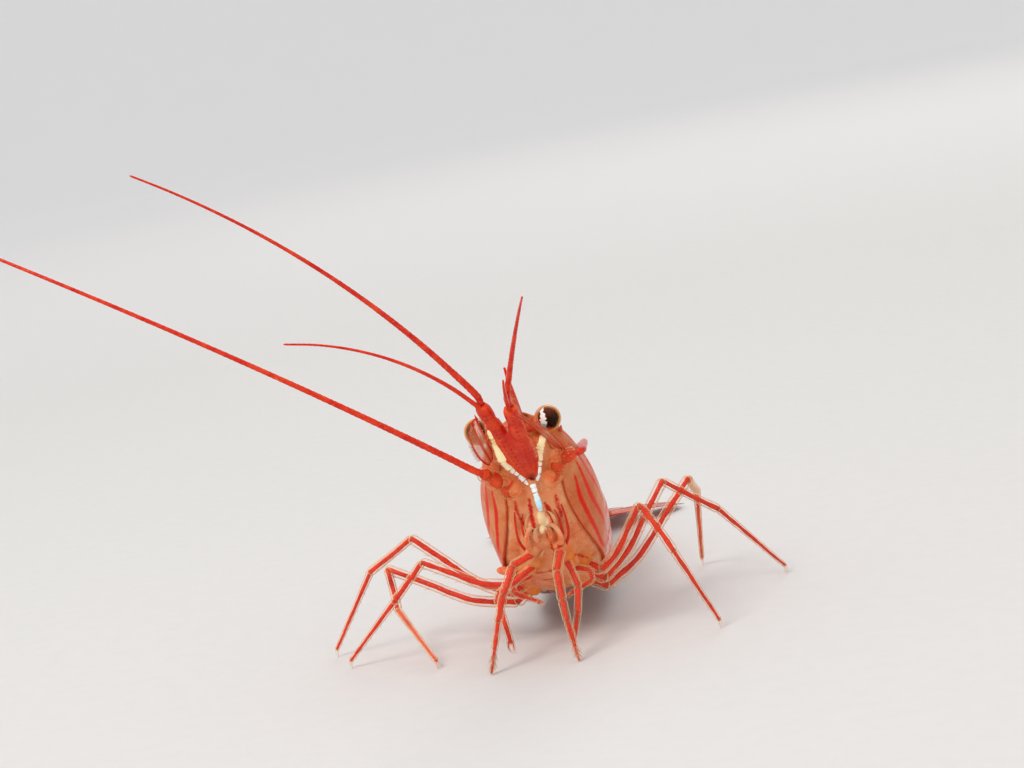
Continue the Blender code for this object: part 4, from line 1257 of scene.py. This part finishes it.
def mirror_deposit_with_painted_glow():
    material, tree, shader = new_material("mirror deposit with painted glow")
    cool = shader_node(tree, "ShaderNodeAttribute", attribute_name="cool").outputs["Fac"]
    inputs = {"Vector": own_place(tree), "Scale": 14000.0}
    flake = shader_node(tree, "ShaderNodeTexVoronoi", inputs).outputs["Distance"]
    ramp = shader_node(tree, "ShaderNodeValToRGB", {"Fac": maths(tree, "MULTIPLY_ADD", flake, 0.22, cool)})
    stops = ramp.color_ramp.elements
    stops[0].position, stops[1].position = Y_COLOURS[0][0], Y_COLOURS[-1][0]
    for position, _ in Y_COLOURS[1:-1]:
        stops.new(position)
    for stop, (_, colour) in zip(stops, Y_COLOURS):
        stop.color = (*colour, 1.0)
    surface = place_group(tree, wet_relief, {"Scale": 12000.0, "Strength": 0.35, "Roughness": 0.18})
    # The emission is a painted glow: the deposit gives off a little light of its own colour.
    set_shader(
        tree, shader, Base_Color=ramp.outputs["Color"], Emission_Color=ramp.outputs["Color"],
        Emission_Strength=0.2, Roughness=surface["Roughness"], Normal=surface["Normal"], Coat_Weight=0.7,
    )
    return material


def make_bright_y():
    chance = random.Random(5)
    blank = Blank("cool")
    for start, end, first_half, last_half, cool in Y_BLOCKS:
        path = [on_face(in_trunk(*spot)) for spot in smooth_path((start, end), 0.045)]
        path = [path[0]] + [(a + b + c) / 3 for a, b, c in zip(path, path[1:], path[2:])] + [path[-1]]
        path = [point - FACE_WAY * 0.035 for point in path]
        radii = []
        for t in evenly(len(path) - 1):
            end_round = min(1.0, 0.66 + 6.0 * min(t, 1 - t))
            radii.append(between(first_half, last_half, t) * end_round * (0.9 + 0.2 * chance.random()))
        blank.skin(sweep(path, radii, 14, 0.55, FACE_WAY), cool=cool)
    finish_piece("bright_y", blank.mesh("bright_y"), mirror_deposit_with_painted_glow(), (), blank.marks)


make_bright_y()

# ---- Third maxillipeds and clawed legs -----------------------------------------------------------
# Slender jointed limbs below the mouth, glass-clear tubes with a red thread of flesh and pigment inside. The
# third maxillipeds reach the floor and end in brushes; the first two pairs of legs end in small pincers.
# Root (station, left, height), thickness, each joint's length, heading and rise; None runs down to the floor.
FRONT_LIMBS = {
    "maxilliped_right": (
        (5.7, 0.75, -0.2), 0.3, ((1.3, 53, -11), (1.5, 48, -53), (1.4, 59, -65), (None, 80, -72)),
    ),
    "maxilliped_left": (
        (5.7, 0.7, -0.2), 0.3, ((1.2, -25, -50), (1.5, 3, -62), (1.1, 12, -66), (None, 40, -80)),
    ),
    "cheliped1_right": ((4.8, 0.85, -0.45), 0.25, ((2.4, 76, -26), (1.8, -17, -62), (1.3, -25, -74))),
    "cheliped1_left": ((4.8, 0.85, -0.45), 0.25, ((1.5, 27, -55), (1.4, -20, -61), (1.6, -50, -66))),
    "cheliped2_right": (
        (3.9, 1.15, -0.5), 0.22, ((1.0, 85, -12), (0.5, 20, -78), (1.1, -58, -18), (0.8, -60, -20)),
    ),
    "cheliped2_left": (
        (3.9, 1.15, -0.5), 0.22, ((0.8, 76, -14), (0.5, 10, -80), (1.0, -66, -16), (0.7, -62, -20)),
    ),
}

limb_cuticle = glass_skin("limb cuticle", (1.0, 0.58, 0.3), 0.07, 0.14, 0.66, 0.06)
limb_thread = wet_tissue(
    "limb flesh", (0.86, 0.03, 0.006), (0.64, 0.01, 0.002), 1300.0, 0.5,
    dots=(((0.9, 0.22, 0.07), 9000.0, 0.3, 0.14), ((0.36, 0.003, 0.001), 11000.0, 0.36, 0.3)),
    roughness=0.3, relief=0.3, scatter=0.35, reach=0.0003, coat=0.0,
)


# The slight sag of the joints and the wander of their threads start from this number, the same each time.
noise.seed_set(8)


def add_limb_joint(outer, thread, knots, first, last, share=0.53):
    """A limb's joint: a clear tube with a slight waist and a collar at its far end, and the thread inside."""
    path = smooth_path(knots, 0.12)
    shares = evenly(len(path) - 1)
    length = sum((b - a).length for a, b in zip(path, path[1:]))
    sag = noise.noise_vector(knots[0] + knots[-1]) * 0.03 * length if len(knots) == 2 else Vector()
    reach = min(0.3, first * 0.5 / length)
    profile = (
        (0.0, 0.66), (reach * 0.5, 0.9), (reach, 0.98), (0.5, 0.93), (1 - reach, 1.0),
        (1 - reach * 0.35, 1.03), (1.0, 0.86),
    )
    path = [point + sag * sin(pi * s) for point, s in zip(path, shares)]
    radii = [between(first, last, s) * smooth_row(profile, s)[0] for s in shares]
    start_way, end_way = (path[1] - path[0]).normalized(), (path[-1] - path[-2]).normalized()
    whole = [path[0] - start_way * first * 0.35] + path + [path[-1] + end_way * last * 0.35]
    outer.skin(sweep(whole, [radii[0] * 0.5] + radii + [radii[-1] * 0.5], 20))
    inner = [point + noise.noise_vector(point * 1.3) * first * 0.08 for point in path]
    widths = [
        between(first, last, s) * share * (1 + 0.22 * noise.noise(point * 2.3))
        for point, s in zip(path, shares)
    ]
    inner = [inner[0] - start_way * widths[0] * 0.7] + inner + [inner[-1] + end_way * widths[-1] * 0.7]
    thread.skin(sweep(inner, [widths[0] * 0.72] + widths + [widths[-1] * 0.72], 12))


def add_pincer(outer, thread, a, b, radius):
    """A slim palm with a fixed and a moving finger, closed to a narrow gap."""
    aside = (b - a).normalized().cross(Vector((0.0, 0.0, 1.0))).normalized()
    add_limb_joint(outer, thread, (a, between(a, b, 0.55)), radius, radius * 0.92)
    for sign, open_by in ((1, 0.09), (-1, 0.02)):
        path = []
        for t in (0.0, 0.2, 0.4, 0.6, 0.8, 0.93, 1.0):
            apart = radius * (0.45 + 0.1 * t - 0.42 * t * t) + open_by * sin(pi * t)
            path.append(between(a, b, 0.5 + 0.5 * t) + aside * sign * apart)
        outer.skin(sweep(path, [radius * r for r in (0.55, 0.5, 0.42, 0.34, 0.24, 0.14, 0.04)], 12))
        thread.skin(sweep(path[:5], [radius * r for r in (0.22, 0.2, 0.16, 0.1, 0.03)], 8))


def add_bristles(blank, a, b, radius, count, length, chance, start=0.2):
    """Bristles all round a stretch of a limb, leaning towards its end."""
    way = (b - a).normalized()
    across = way.cross(Vector((0.3, 1.0, 0.2))).normalized()
    over = way.cross(across)
    for i in range(count):
        share = between(start, 1.0, (i + chance.random()) / count)
        turn = chance.random() * tau
        out = across * cos(turn) + over * sin(turn)
        lean = between(0.9, 2.2, share)
        foot = between(a, b, share) + out * radius * 0.7
        way_out = (way * lean + out).normalized()
        own = length * (0.7 + 0.5 * chance.random())
        if foot.z + way_out.z * own > 0.03:
            spine(blank, foot, way_out, own, 0.016, 0.1, 1.0, 3)


def finish_limb(name, outer, thread, nodes):
    finish_piece(name + "_cuticle", outer.mesh(name), limb_cuticle, nodes)
    finish_piece(name + "_flesh", thread.mesh(name), limb_thread)


def make_front_limbs():
    chance = random.Random(8)
    for name, ((station, out, height), radius, joints) in FRONT_LIMBS.items():
        sign = -1 if name.endswith("right") else 1
        knots = [in_trunk(station, height, sign * out)]
        for length, heading, rise in joints:
            way = pointing(heading, rise, sign)
            if length is None:
                length = (knots[-1].z - 0.04) / -way.z
            knots.append(knots[-1] + way * length)
        outer, thread = Blank(), Blank()
        last = len(knots) - 2
        for i, (a, b) in enumerate(zip(knots, knots[1:])):
            first_radius, last_radius = radius * (1 - 0.09 * i), radius * (0.96 - 0.1 * i)
            if i < last:
                add_limb_joint(outer, thread, (a, b), first_radius, last_radius)
            elif name.startswith("cheliped"):
                add_pincer(outer, thread, a, b, first_radius)
            else:
                middle = between(a, b, 0.52)
                tip = between(a, b, 0.97)
                add_limb_joint(outer, thread, (a, middle), first_radius, last_radius * 0.9)
                add_limb_joint(outer, thread, (middle, tip), last_radius * 0.85, 0.1)
                spine(outer, tip, (b - a).normalized(), (b - tip).length + 0.02, 0.08, 0.0, 1.0, 8)
                add_bristles(outer, middle, tip, last_radius * 0.7, 90, 0.34, chance)
                add_bristles(outer, a, middle, last_radius, 26, 0.24, chance, 0.4)
            if 0 < i < last:
                add_bristles(outer, a, b, last_radius, 8, 0.2, chance, 0.5)
        if name.startswith("cheliped"):
            add_bristles(outer, knots[-2], knots[-1], radius * 0.7, 14, 0.16, chance, 0.4)
        finish_limb(name, outer, thread, (name,))


make_front_limbs()

# ---- Walking legs --------------------------------------------------------------------------------
# Three pairs of long stilt-like legs, each a thigh, a wrist, a shank and a small clawed toe, in the same
# clear cuticle with a saturated red thread. Movable spines stand under the thigh and along the shank.
LEG_ROOTS = {3: (3.2, 1.7, 0.15), 4: (1.9, 1.7, 0.15), 5: (0.6, 1.65, 0.3)}
LEG_LENGTHS = {3: (4.7, 2.85, 4.35, 0.45), 4: (6.2, 3.6, 5.25, 0.45), 5: (7.9, 2.6, 5.4, 0.45)}
# Thigh heading and rise, wrist heading and rise, shank heading; headings turn back from straight sideways.
LEG_POSES = {
    (3, "right"): (8.0, 22.8, 20.1, -43.4, 18.3), (3, "left"): (-37.4, 45.8, -28.7, -58.9, 16.0),
    (4, "right"): (16.1, 35.6, 30.0, -28.5, 26.2), (4, "left"): (38.3, 39.9, 22.5, -38.3, 28.8),
    (5, "right"): (24.0, 17.0, 258.0, -48.0, 245.0), (5, "left"): (41.8, 30.6, 82.7, -27.6, 98.7),
}


def leg_knots(pair, side):
    """Root, hip, the low point of the thigh, knee, hand, ankle and foot."""
    sign = -1 if side == "right" else 1
    thigh_heading, thigh_rise, wrist_heading, wrist_rise, shank_heading = LEG_POSES[pair, side]
    thigh, wrist, shank, toe = LEG_LENGTHS[pair]
    station, out, height = LEG_ROOTS[pair]
    root = in_trunk(station, height, sign * out)
    hip = root + pointing(90 + thigh_heading / 2, -36.0, sign) * 0.95
    knee = hip + pointing(90 + thigh_heading, thigh_rise, sign) * thigh
    low = between(hip, knee, 0.36) - Vector((0.0, 0.0, 0.07 * thigh))
    hand = knee + pointing(90 + wrist_heading, wrist_rise, sign) * wrist
    fall = asin(min(0.98, (hand.z - toe) / shank))
    ankle = hand + pointing(90 + shank_heading, -fall * 360 / tau, sign) * shank
    return root, hip, low, knee, hand, ankle, Vector((ankle.x, ankle.y, 0.0))


DOWN = Vector((0.0, 0.0, -1.0))


def square_to(way, wanted):
    """The wanted direction, turned square to another."""
    return (wanted - way * wanted.dot(way)).normalized()


def make_walking_legs():
    chance = random.Random(21)
    for pair, side in LEG_POSES:
        root, hip, low, knee, hand, ankle, foot = leg_knots(pair, side)
        outer, thread = Blank(), Blank()
        add_limb_joint(outer, thread, (root, hip), 0.36, 0.33, 0.42)
        add_limb_joint(outer, thread, (hip, low, between(low, knee, 0.5), knee), 0.32, 0.285, 0.45)
        add_limb_joint(outer, thread, (knee, hand), 0.235, 0.255, 0.5)
        add_limb_joint(outer, thread, (hand, between(hand, ankle, 0.5), ankle), 0.22, 0.135, 0.5)
        thigh_way, wrist_way, shank_way = [
            (far - near).normalized() for near, far in ((low, knee), (knee, hand), (hand, ankle))
        ]
        toe_tip = Vector((foot.x, foot.y, 0.012))
        toe_bend = ankle + between(shank_way, DOWN, 0.55).normalized() * 0.16
        toe = smooth_path((ankle - shank_way * 0.1, toe_bend, toe_tip), 0.05)
        outer.skin(sweep(toe, [between(0.12, 0.03, share ** 1.2) for share in evenly(len(toe) - 1)], 12))
        claw_way = between(DOWN, -shank_way, 0.5).normalized()
        for i in range(3):
            spot = between(ankle, toe_tip, 0.25 + 0.22 * i)
            spine(outer, spot, claw_way, 0.16 - 0.03 * i, 0.028, 0.1, 1.0, 5)
        under = square_to(thigh_way, DOWN)
        for share in (0.3, 0.5, 0.7, 0.9):
            spot = between(low, knee, share) + under * 0.27
            spine(outer, spot, (thigh_way * 1.2 + under * 0.7).normalized(), 0.32, 0.045, 0.1)
        spot = between(knee, hand, 0.82) + DOWN * 0.2
        spine(outer, spot, (wrist_way * 1.4 + DOWN * 0.5).normalized(), 0.26, 0.04, 0.1)
        under = square_to(shank_way, DOWN)
        for share in evenly(7, 0.14, 0.91):
            spot = between(hand, ankle, share) + under * between(0.2, 0.125, share)
            spine(outer, spot, (shank_way + under * 0.9).normalized(), 0.2, 0.026, 0.1, 1.0, 5)
        add_bristles(outer, hand, ankle, 0.15, 18, 0.16, chance, 0.55)
        add_bristles(outer, low, knee, 0.28, 8, 0.14, chance, 0.2)
        name = "leg%d_%s" % (pair, side)
        finish_limb(name, outer, thread, (name + "_upper", name + "_lower"))


make_walking_legs()

# ---- Abdomen -------------------------------------------------------------------------------------
# Six overlapping hoops of thin shell over one core of muscle. The side flap of the second laps over those of
# the first and the third. Red lines run the length of the back, with greyish pink between them.
# Joints from front to rear: top and bottom as (back, up), half width.
ABDOMEN = (
    ((5.45, 6.42), (2.15, 2.18), 2.5), ((7.1, 6.92), (5.2, 1.85), 2.58), ((10.3, 7.1), (8.9, 1.7), 2.6),
    ((14.8, 6.25), (12.4, 1.5), 2.4), ((18.1, 4.9), (16.2, 1.25), 2.08), ((21.1, 3.8), (19.5, 1.05), 1.75),
    ((25.6, 2.55), (24.8, 0.85), 1.25),
)
FLAP_DROP = (0.3, 0.62, 0.45, 0.42, 0.34, 0.06)
FLAP_SPREAD = (0.04, 0.34, 0.1, 0.14, 0.14, 0.02)
# How far round from the crown the red lines lie, as shares of the half outline.
BACK_LINES = (0.065, 0.19, 0.31, 0.43, 0.55, 0.67, 0.79)
HOOP_ROWS, HOOP_THICKNESS = 34, 0.09


def hoop_point(number, along, share, sign, grow=0.0):
    """A point of a hoop's outer face: along from front 0 to rear 1, and round from crown 0 to flap edge 1."""
    (top, bottom, half), (next_top, next_bottom, next_half) = ABDOMEN[number:number + 2]
    low = max(0.0, (share - 0.5) / 0.5)
    place = along + (along - 0.5) * FLAP_SPREAD[number] * low ** 1.5
    crown, base = [
        between(Vector((0.0, *near)), Vector((0.0, *far)), place)
        for near, far in ((top, next_top), (bottom, next_bottom))
    ]
    bulge = sin(pi * min(1.0, max(0.0, along)))
    width = between(half, next_half, place) * (1 + 0.04 * bulge) + grow
    up = (crown - base).normalized()
    height = (crown - base).length + 0.12 * bulge + grow
    middle = height * 0.42
    drop = FLAP_DROP[number] * (0.35 + 0.65 * max(0.0, bulge) ** 0.6)
    if share < 0.62:
        turn = share / 0.62 * pi / 2
        side, level = width * sin(turn) ** 0.92, middle + (height - middle) * max(0.0, cos(turn)) ** 0.92
    else:
        t = (share - 0.62) / 0.38
        side = width * (1 - 0.1 * t * t)
        level = middle * (1 - t) ** 2 + middle * 0.5 * 2 * t * (1 - t) - drop * t * t
    return base + up * level + Vector((sign * side, 0.0, 0.0))


def make_hoop(number):
    """A hoop's open skin in rings from front to rear, and the places of its painted rim."""
    length = (Vector(ABDOMEN[number + 1][0]) - Vector(ABDOMEN[number][0])).length
    front = -0.16 if number == 0 else -0.1
    rings, rim = [], []
    for i, along in enumerate(evenly(HOOP_ROWS, front, 1 + 0.16 / length)):
        grow = between(-0.13, 0.05, i / HOOP_ROWS) + 0.03 * max(0.0, (i - HOOP_ROWS + 3) / 3)
        ring = [hoop_point(number, along, share, sign, grow) for sign, share in over_the_back(44)]
        rings.append(ring)
        rim += [([ring[0]], 0.05), ([ring[-1]], 0.05)]
    rim += [([point], 0.055) for point in rings[-1]]
    if number == 5:
        # The last hoop curves in round the roots of the tail fan.
        outline = rings[-1]
        heart = sum(outline, Vector()) / len(outline)
        rearward = (Vector((0.0, *ABDOMEN[6][0])) - Vector((0.0, *ABDOMEN[5][0]))).normalized()
        for share, push in ((0.95, 0.09), (0.84, 0.17), (0.62, 0.24), (0.35, 0.28)):
            rings.append([heart + (point - heart) * share + rearward * push for point in outline])
    return rings, rim


def muscle_ring(number, along):
    """A ring of the core inside a hoop, drawn in between the segments on its underside."""
    crown, low = hoop_point(number, along, 0.0, 1), hoop_point(number, along, 0.9, 1)
    wide = hoop_point(number, along, 0.6, 1).x * 0.9
    up = crown - Vector((0.0, low.y, low.z))
    base = crown - up * 0.86
    ring = []
    for k in range(36):
        c, s = cos(tau * k / 36), sin(tau * k / 36)
        size = (abs(c) ** 2.6 + abs(s) ** 2.6) ** (-1 / 2.6)
        furrow = 1 - 0.05 * (0.5 + 0.5 * cos(tau * along)) * (s < -0.3)
        aside = Vector((wide * size * c * furrow, 0.0, 0.0))
        ring.append(base + up * (0.4 + 0.4 * size * s * furrow) + aside)
    return ring


def make_abdomen():
    lines = []
    for number in range(6):
        for share in BACK_LINES:
            half = 0.17 * (1 - 0.055 * number) * (1.0 if share < 0.6 else 0.9)
            for sign in (-1, 1):
                lines.append(([hoop_point(number, i / 40, share, sign) for i in range(40)], half))
    stripe = line_field(lines)
    material = wet_tissue(
        "abdomen shell", (0.84, 0.48, 0.38), (0.75, 0.25, 0.15), 420.0, 0.5,
        dots=(((0.93, 0.72, 0.62), 8000.0, 0.32, 0.35), ((0.56, 0.03, 0.01), 14000.0, 0.34, 0.38)),
        lines=(("rim", (0.74, 0.1, 0.04), 0.06, 0.05), ("stripe", RED_LINE, 0.14, 0.05)),
        roughness=0.3, relief=0.25, scatter=0.4, reach=0.0003, coat=0.04,
    )
    for number in range(6):
        rings, rim = make_hoop(number)
        blank = Blank()
        blank.skin(rings, closed=False, ends=False)
        middle = hoop_point(number, 0.5, 0.62, 1)
        hoop = thicken(blank.mesh("hoop"), Vector((0.0, middle.y, middle.z)), HOOP_THICKNESS)
        finish_piece("abdomen_hoop_%d" % (number + 1), hoop, material, ("somite_%d" % (number + 1),),
                     {"stripe": stripe, "rim": line_field(rim)})

    places = [(number, i / 12) for number in range(6) for i in range(12)]
    blank = Blank()
    blank.skin([muscle_ring(*place) for place in places[1:]])
    flesh = wet_tissue(
        "abdomen flesh", (0.92, 0.58, 0.44), (0.82, 0.28, 0.14), 500.0, 0.5,
        dots=(((0.62, 0.05, 0.02), 9000.0, 0.34, 0.25),), scatter=0.6, reach=0.0012, relief=0.3,
    )
    finish_piece("abdomen_flesh", blank.mesh("flesh"), flesh)


make_abdomen()

# ---- Tail fan ------------------------------------------------------------------------------------
# The narrow telson in the middle, with two pairs of spines on its back and a spiny end, and two flat blades
# on each side, all of thin shell tinted red, with stiff ribs and a fringe of hairs. It rests on the floor.
TELSON_LENGTH = 6.2
TELSON_EDGES = (
    (0.0, 0.78, 0.78), (0.1, 0.86, 0.86), (0.45, 0.68, 0.68), (0.85, 0.4, 0.4), (1.0, 0.24, 0.24),
)
UPWARD = Vector((0.0, 0.0, 1.0))
# Blades: length, spread, distance from the middle, then (share, outer, inner) half widths.
UROPODS = {
    "inner": (5.6, 17.0, 0.8, (
        (0.0, 0.34, 0.32), (0.2, 0.7, 0.64), (0.5, 0.92, 0.9), (0.8, 0.8, 0.84), (0.94, 0.5, 0.56),
        (1.0, 0.14, 0.16),
    )),
    "outer": (6.0, 46.0, 1.45, (
        (0.0, 0.36, 0.36), (0.2, 0.76, 0.82), (0.5, 1.02, 1.18), (0.8, 1.04, 1.14), (0.94, 0.78, 0.8),
        (1.0, 0.34, 0.24),
    )),
}


def fin_tissue(name, pale, deep, line, clearness):
    dots = ((0.6, 0.03, 0.01), 11000.0, 0.36, 0.45)
    return leaf_tissue(name, pale, deep, line, 0.05, 0.08, clearness, dots, 0.18)


def add_uropod(blank, rear, kind, sign, chance):
    """A blade of the tail fan that slopes down and out to the floor, with its fringes and its stem."""
    length, spread, out, edges = UROPODS[kind]
    root = rear + Vector((sign * out, 0.1, -0.6))
    slope = asin((root.z - 0.27) / length)
    level = Vector((sign * sin(radians(spread)), cos(radians(spread)), 0.0)) * cos(slope)
    way = level - Vector((0.0, 0.0, sin(slope)))
    leaf_tip = root + way * length
    spot, along, across, _ = add_leaf(
        blank, root - way * 0.1, leaf_tip, UPWARD, mirrored(edges, -sign), 0.075, 0.14, -0.1 * sign, 0.085
    )
    outer_side = 1 if across.x * sign > 0 else -1
    fringe(blank, spot, along, across, evenly(59, 0.35, 0.99), (-outer_side,), 0.5, 0.013, chance)
    fringe(blank, spot, along, across, evenly(24, 0.72, 0.99), (outer_side,), 0.42, 0.013, chance)
    if kind == "outer":
        spine(blank, spot(0.8, outer_side * 0.96), along, 0.34, 0.05, 0.0, 1.0, 6, margin=-0.1)
    knots = (Vector((sign * out * 0.55, -0.75, -0.35)), Vector((sign * out * 0.8, -0.3, -0.5)))
    stem = smooth_path([rear + knot for knot in knots] + [root + way * 0.35], 0.12)
    blank.skin(sweep(stem, [0.34] * len(stem), 16, 0.8), margin=0.02)


def make_tail_fan():
    chance = random.Random(33)
    material = fin_tissue("tail blade", (0.8, 0.2, 0.1), (0.64, 0.06, 0.02), (0.5, 0.01, 0.003), 0.78)
    (top, bottom, _) = ABDOMEN[-1]
    rear = Vector((0.0, (top[0] + bottom[0]) / 2 + 0.06, (top[1] + bottom[1]) / 2))
    root = rear + Vector((0.0, -0.35, 0.1))
    drop = rear.z - 0.27
    tip = rear + Vector((0.0, 0.2 + sqrt(TELSON_LENGTH**2 - drop**2), -drop))
    blank = Blank("margin")
    spot, along, across, normal = add_leaf(blank, root, tip, UPWARD, TELSON_EDGES, 0.16, 0.16, 0.0, 0.09)
    way = (along + normal * 0.35).normalized()
    for share in (0.42, 0.66):
        for t in (-0.62, 0.62):
            spine(blank, spot(share, t) + normal * 0.06, way, 0.36, 0.05, 0.0, 1.0, 6, margin=0.3)
    for t, long in ((-0.9, 0.28), (-0.6, 0.62), (-0.2, 0.45), (0.2, 0.45), (0.6, 0.62), (0.9, 0.28)):
        way = (along + across * t * 0.2).normalized()
        spine(blank, spot(0.985, t), way, long, 0.045, 0.0, 1.0, 6, margin=0.3)
    fringe(blank, spot, along, across, evenly(19, 0.55, 0.98), (-1, 1), 0.28, 0.012, chance)
    finish_piece("telson_plate", blank.mesh("telson"), material, ("telson",), blank.marks)
    for kind in UROPODS:
        for side, sign in SIDES:
            blank = Blank("margin")
            add_uropod(blank, rear, kind, sign, chance)
            finish_piece("tail_blade_%s_%s" % (kind, side), blank.mesh("blade"), material,
                         ("uropod_%s_%s" % (kind, side),), blank.marks)


make_tail_fan()

# ---- Swimmerets ----------------------------------------------------------------------------------
# Five pairs of paddles folded back under the abdomen, each a short stem with two soft leaves. Hairs fringe
# both edges of each leaf.
PADDLE_LENGTHS = (2.7, 3.3, 3.4, 3.1, 2.5)
PADDLE_DROP = radians(20)
PADDLE_EDGES = ((0.0, 0.14, 0.14), (0.2, 0.27, 0.25), (0.5, 0.34, 0.32), (0.85, 0.22, 0.2), (1.0, 0.06, 0.05))


def make_swimmerets():
    chance = random.Random(44)
    material = fin_tissue("swimmeret", (0.93, 0.6, 0.46), (0.84, 0.32, 0.2), (0.7, 0.06, 0.02), 0.7)
    way = Vector((0.0, cos(PADDLE_DROP), -sin(PADDLE_DROP)))
    for number, length in enumerate(PADDLE_LENGTHS, 1):
        (_, bottom, half), (_, next_bottom, _) = ABDOMEN[number - 1:number + 1]
        place = between(Vector((0.0, *bottom)), Vector((0.0, *next_bottom)), 0.3)
        for side, sign in SIDES:
            root = place + Vector((sign * half * 0.42, 0.0, 0.2))
            blank = Blank("margin")
            above, bend = root + Vector((0.0, -0.35, 0.75)), root + Vector((0.0, -0.1, 0.25))
            stem = smooth_path((above, bend, root + way * length * 0.34), 0.1)
            radii = [0.26 * (1 - 0.25 * i / len(stem)) for i in range(len(stem))]
            blank.skin(sweep(stem, radii, 16, 0.75), margin=0.3)
            for shift, spread, long in ((-0.16, -7, 0.93), (0.18, 8, 1.0)):
                turn = Matrix.Rotation(radians(spread) * sign, 3, "Z")
                base = root + way * length * 0.28 + Vector((sign * shift, 0.0, 0.0))
                tip = base + (turn @ way) * length * 0.7 * long
                spot, along, across, _ = add_leaf(
                    blank, base, tip, UPWARD, PADDLE_EDGES, 0.05, 0.06, 0.0, 0.06, 24, 12
                )
                fringe(blank, spot, along, across, evenly(27, 0.2, 0.99), (-1, 1), 0.3, 0.012, chance)
            finish_piece("swimmeret_%d_%s" % (number, side), blank.mesh("swimmeret"), material,
                         ("pleopod_%d_%s" % (number, side),), blank.marks)


make_swimmerets()
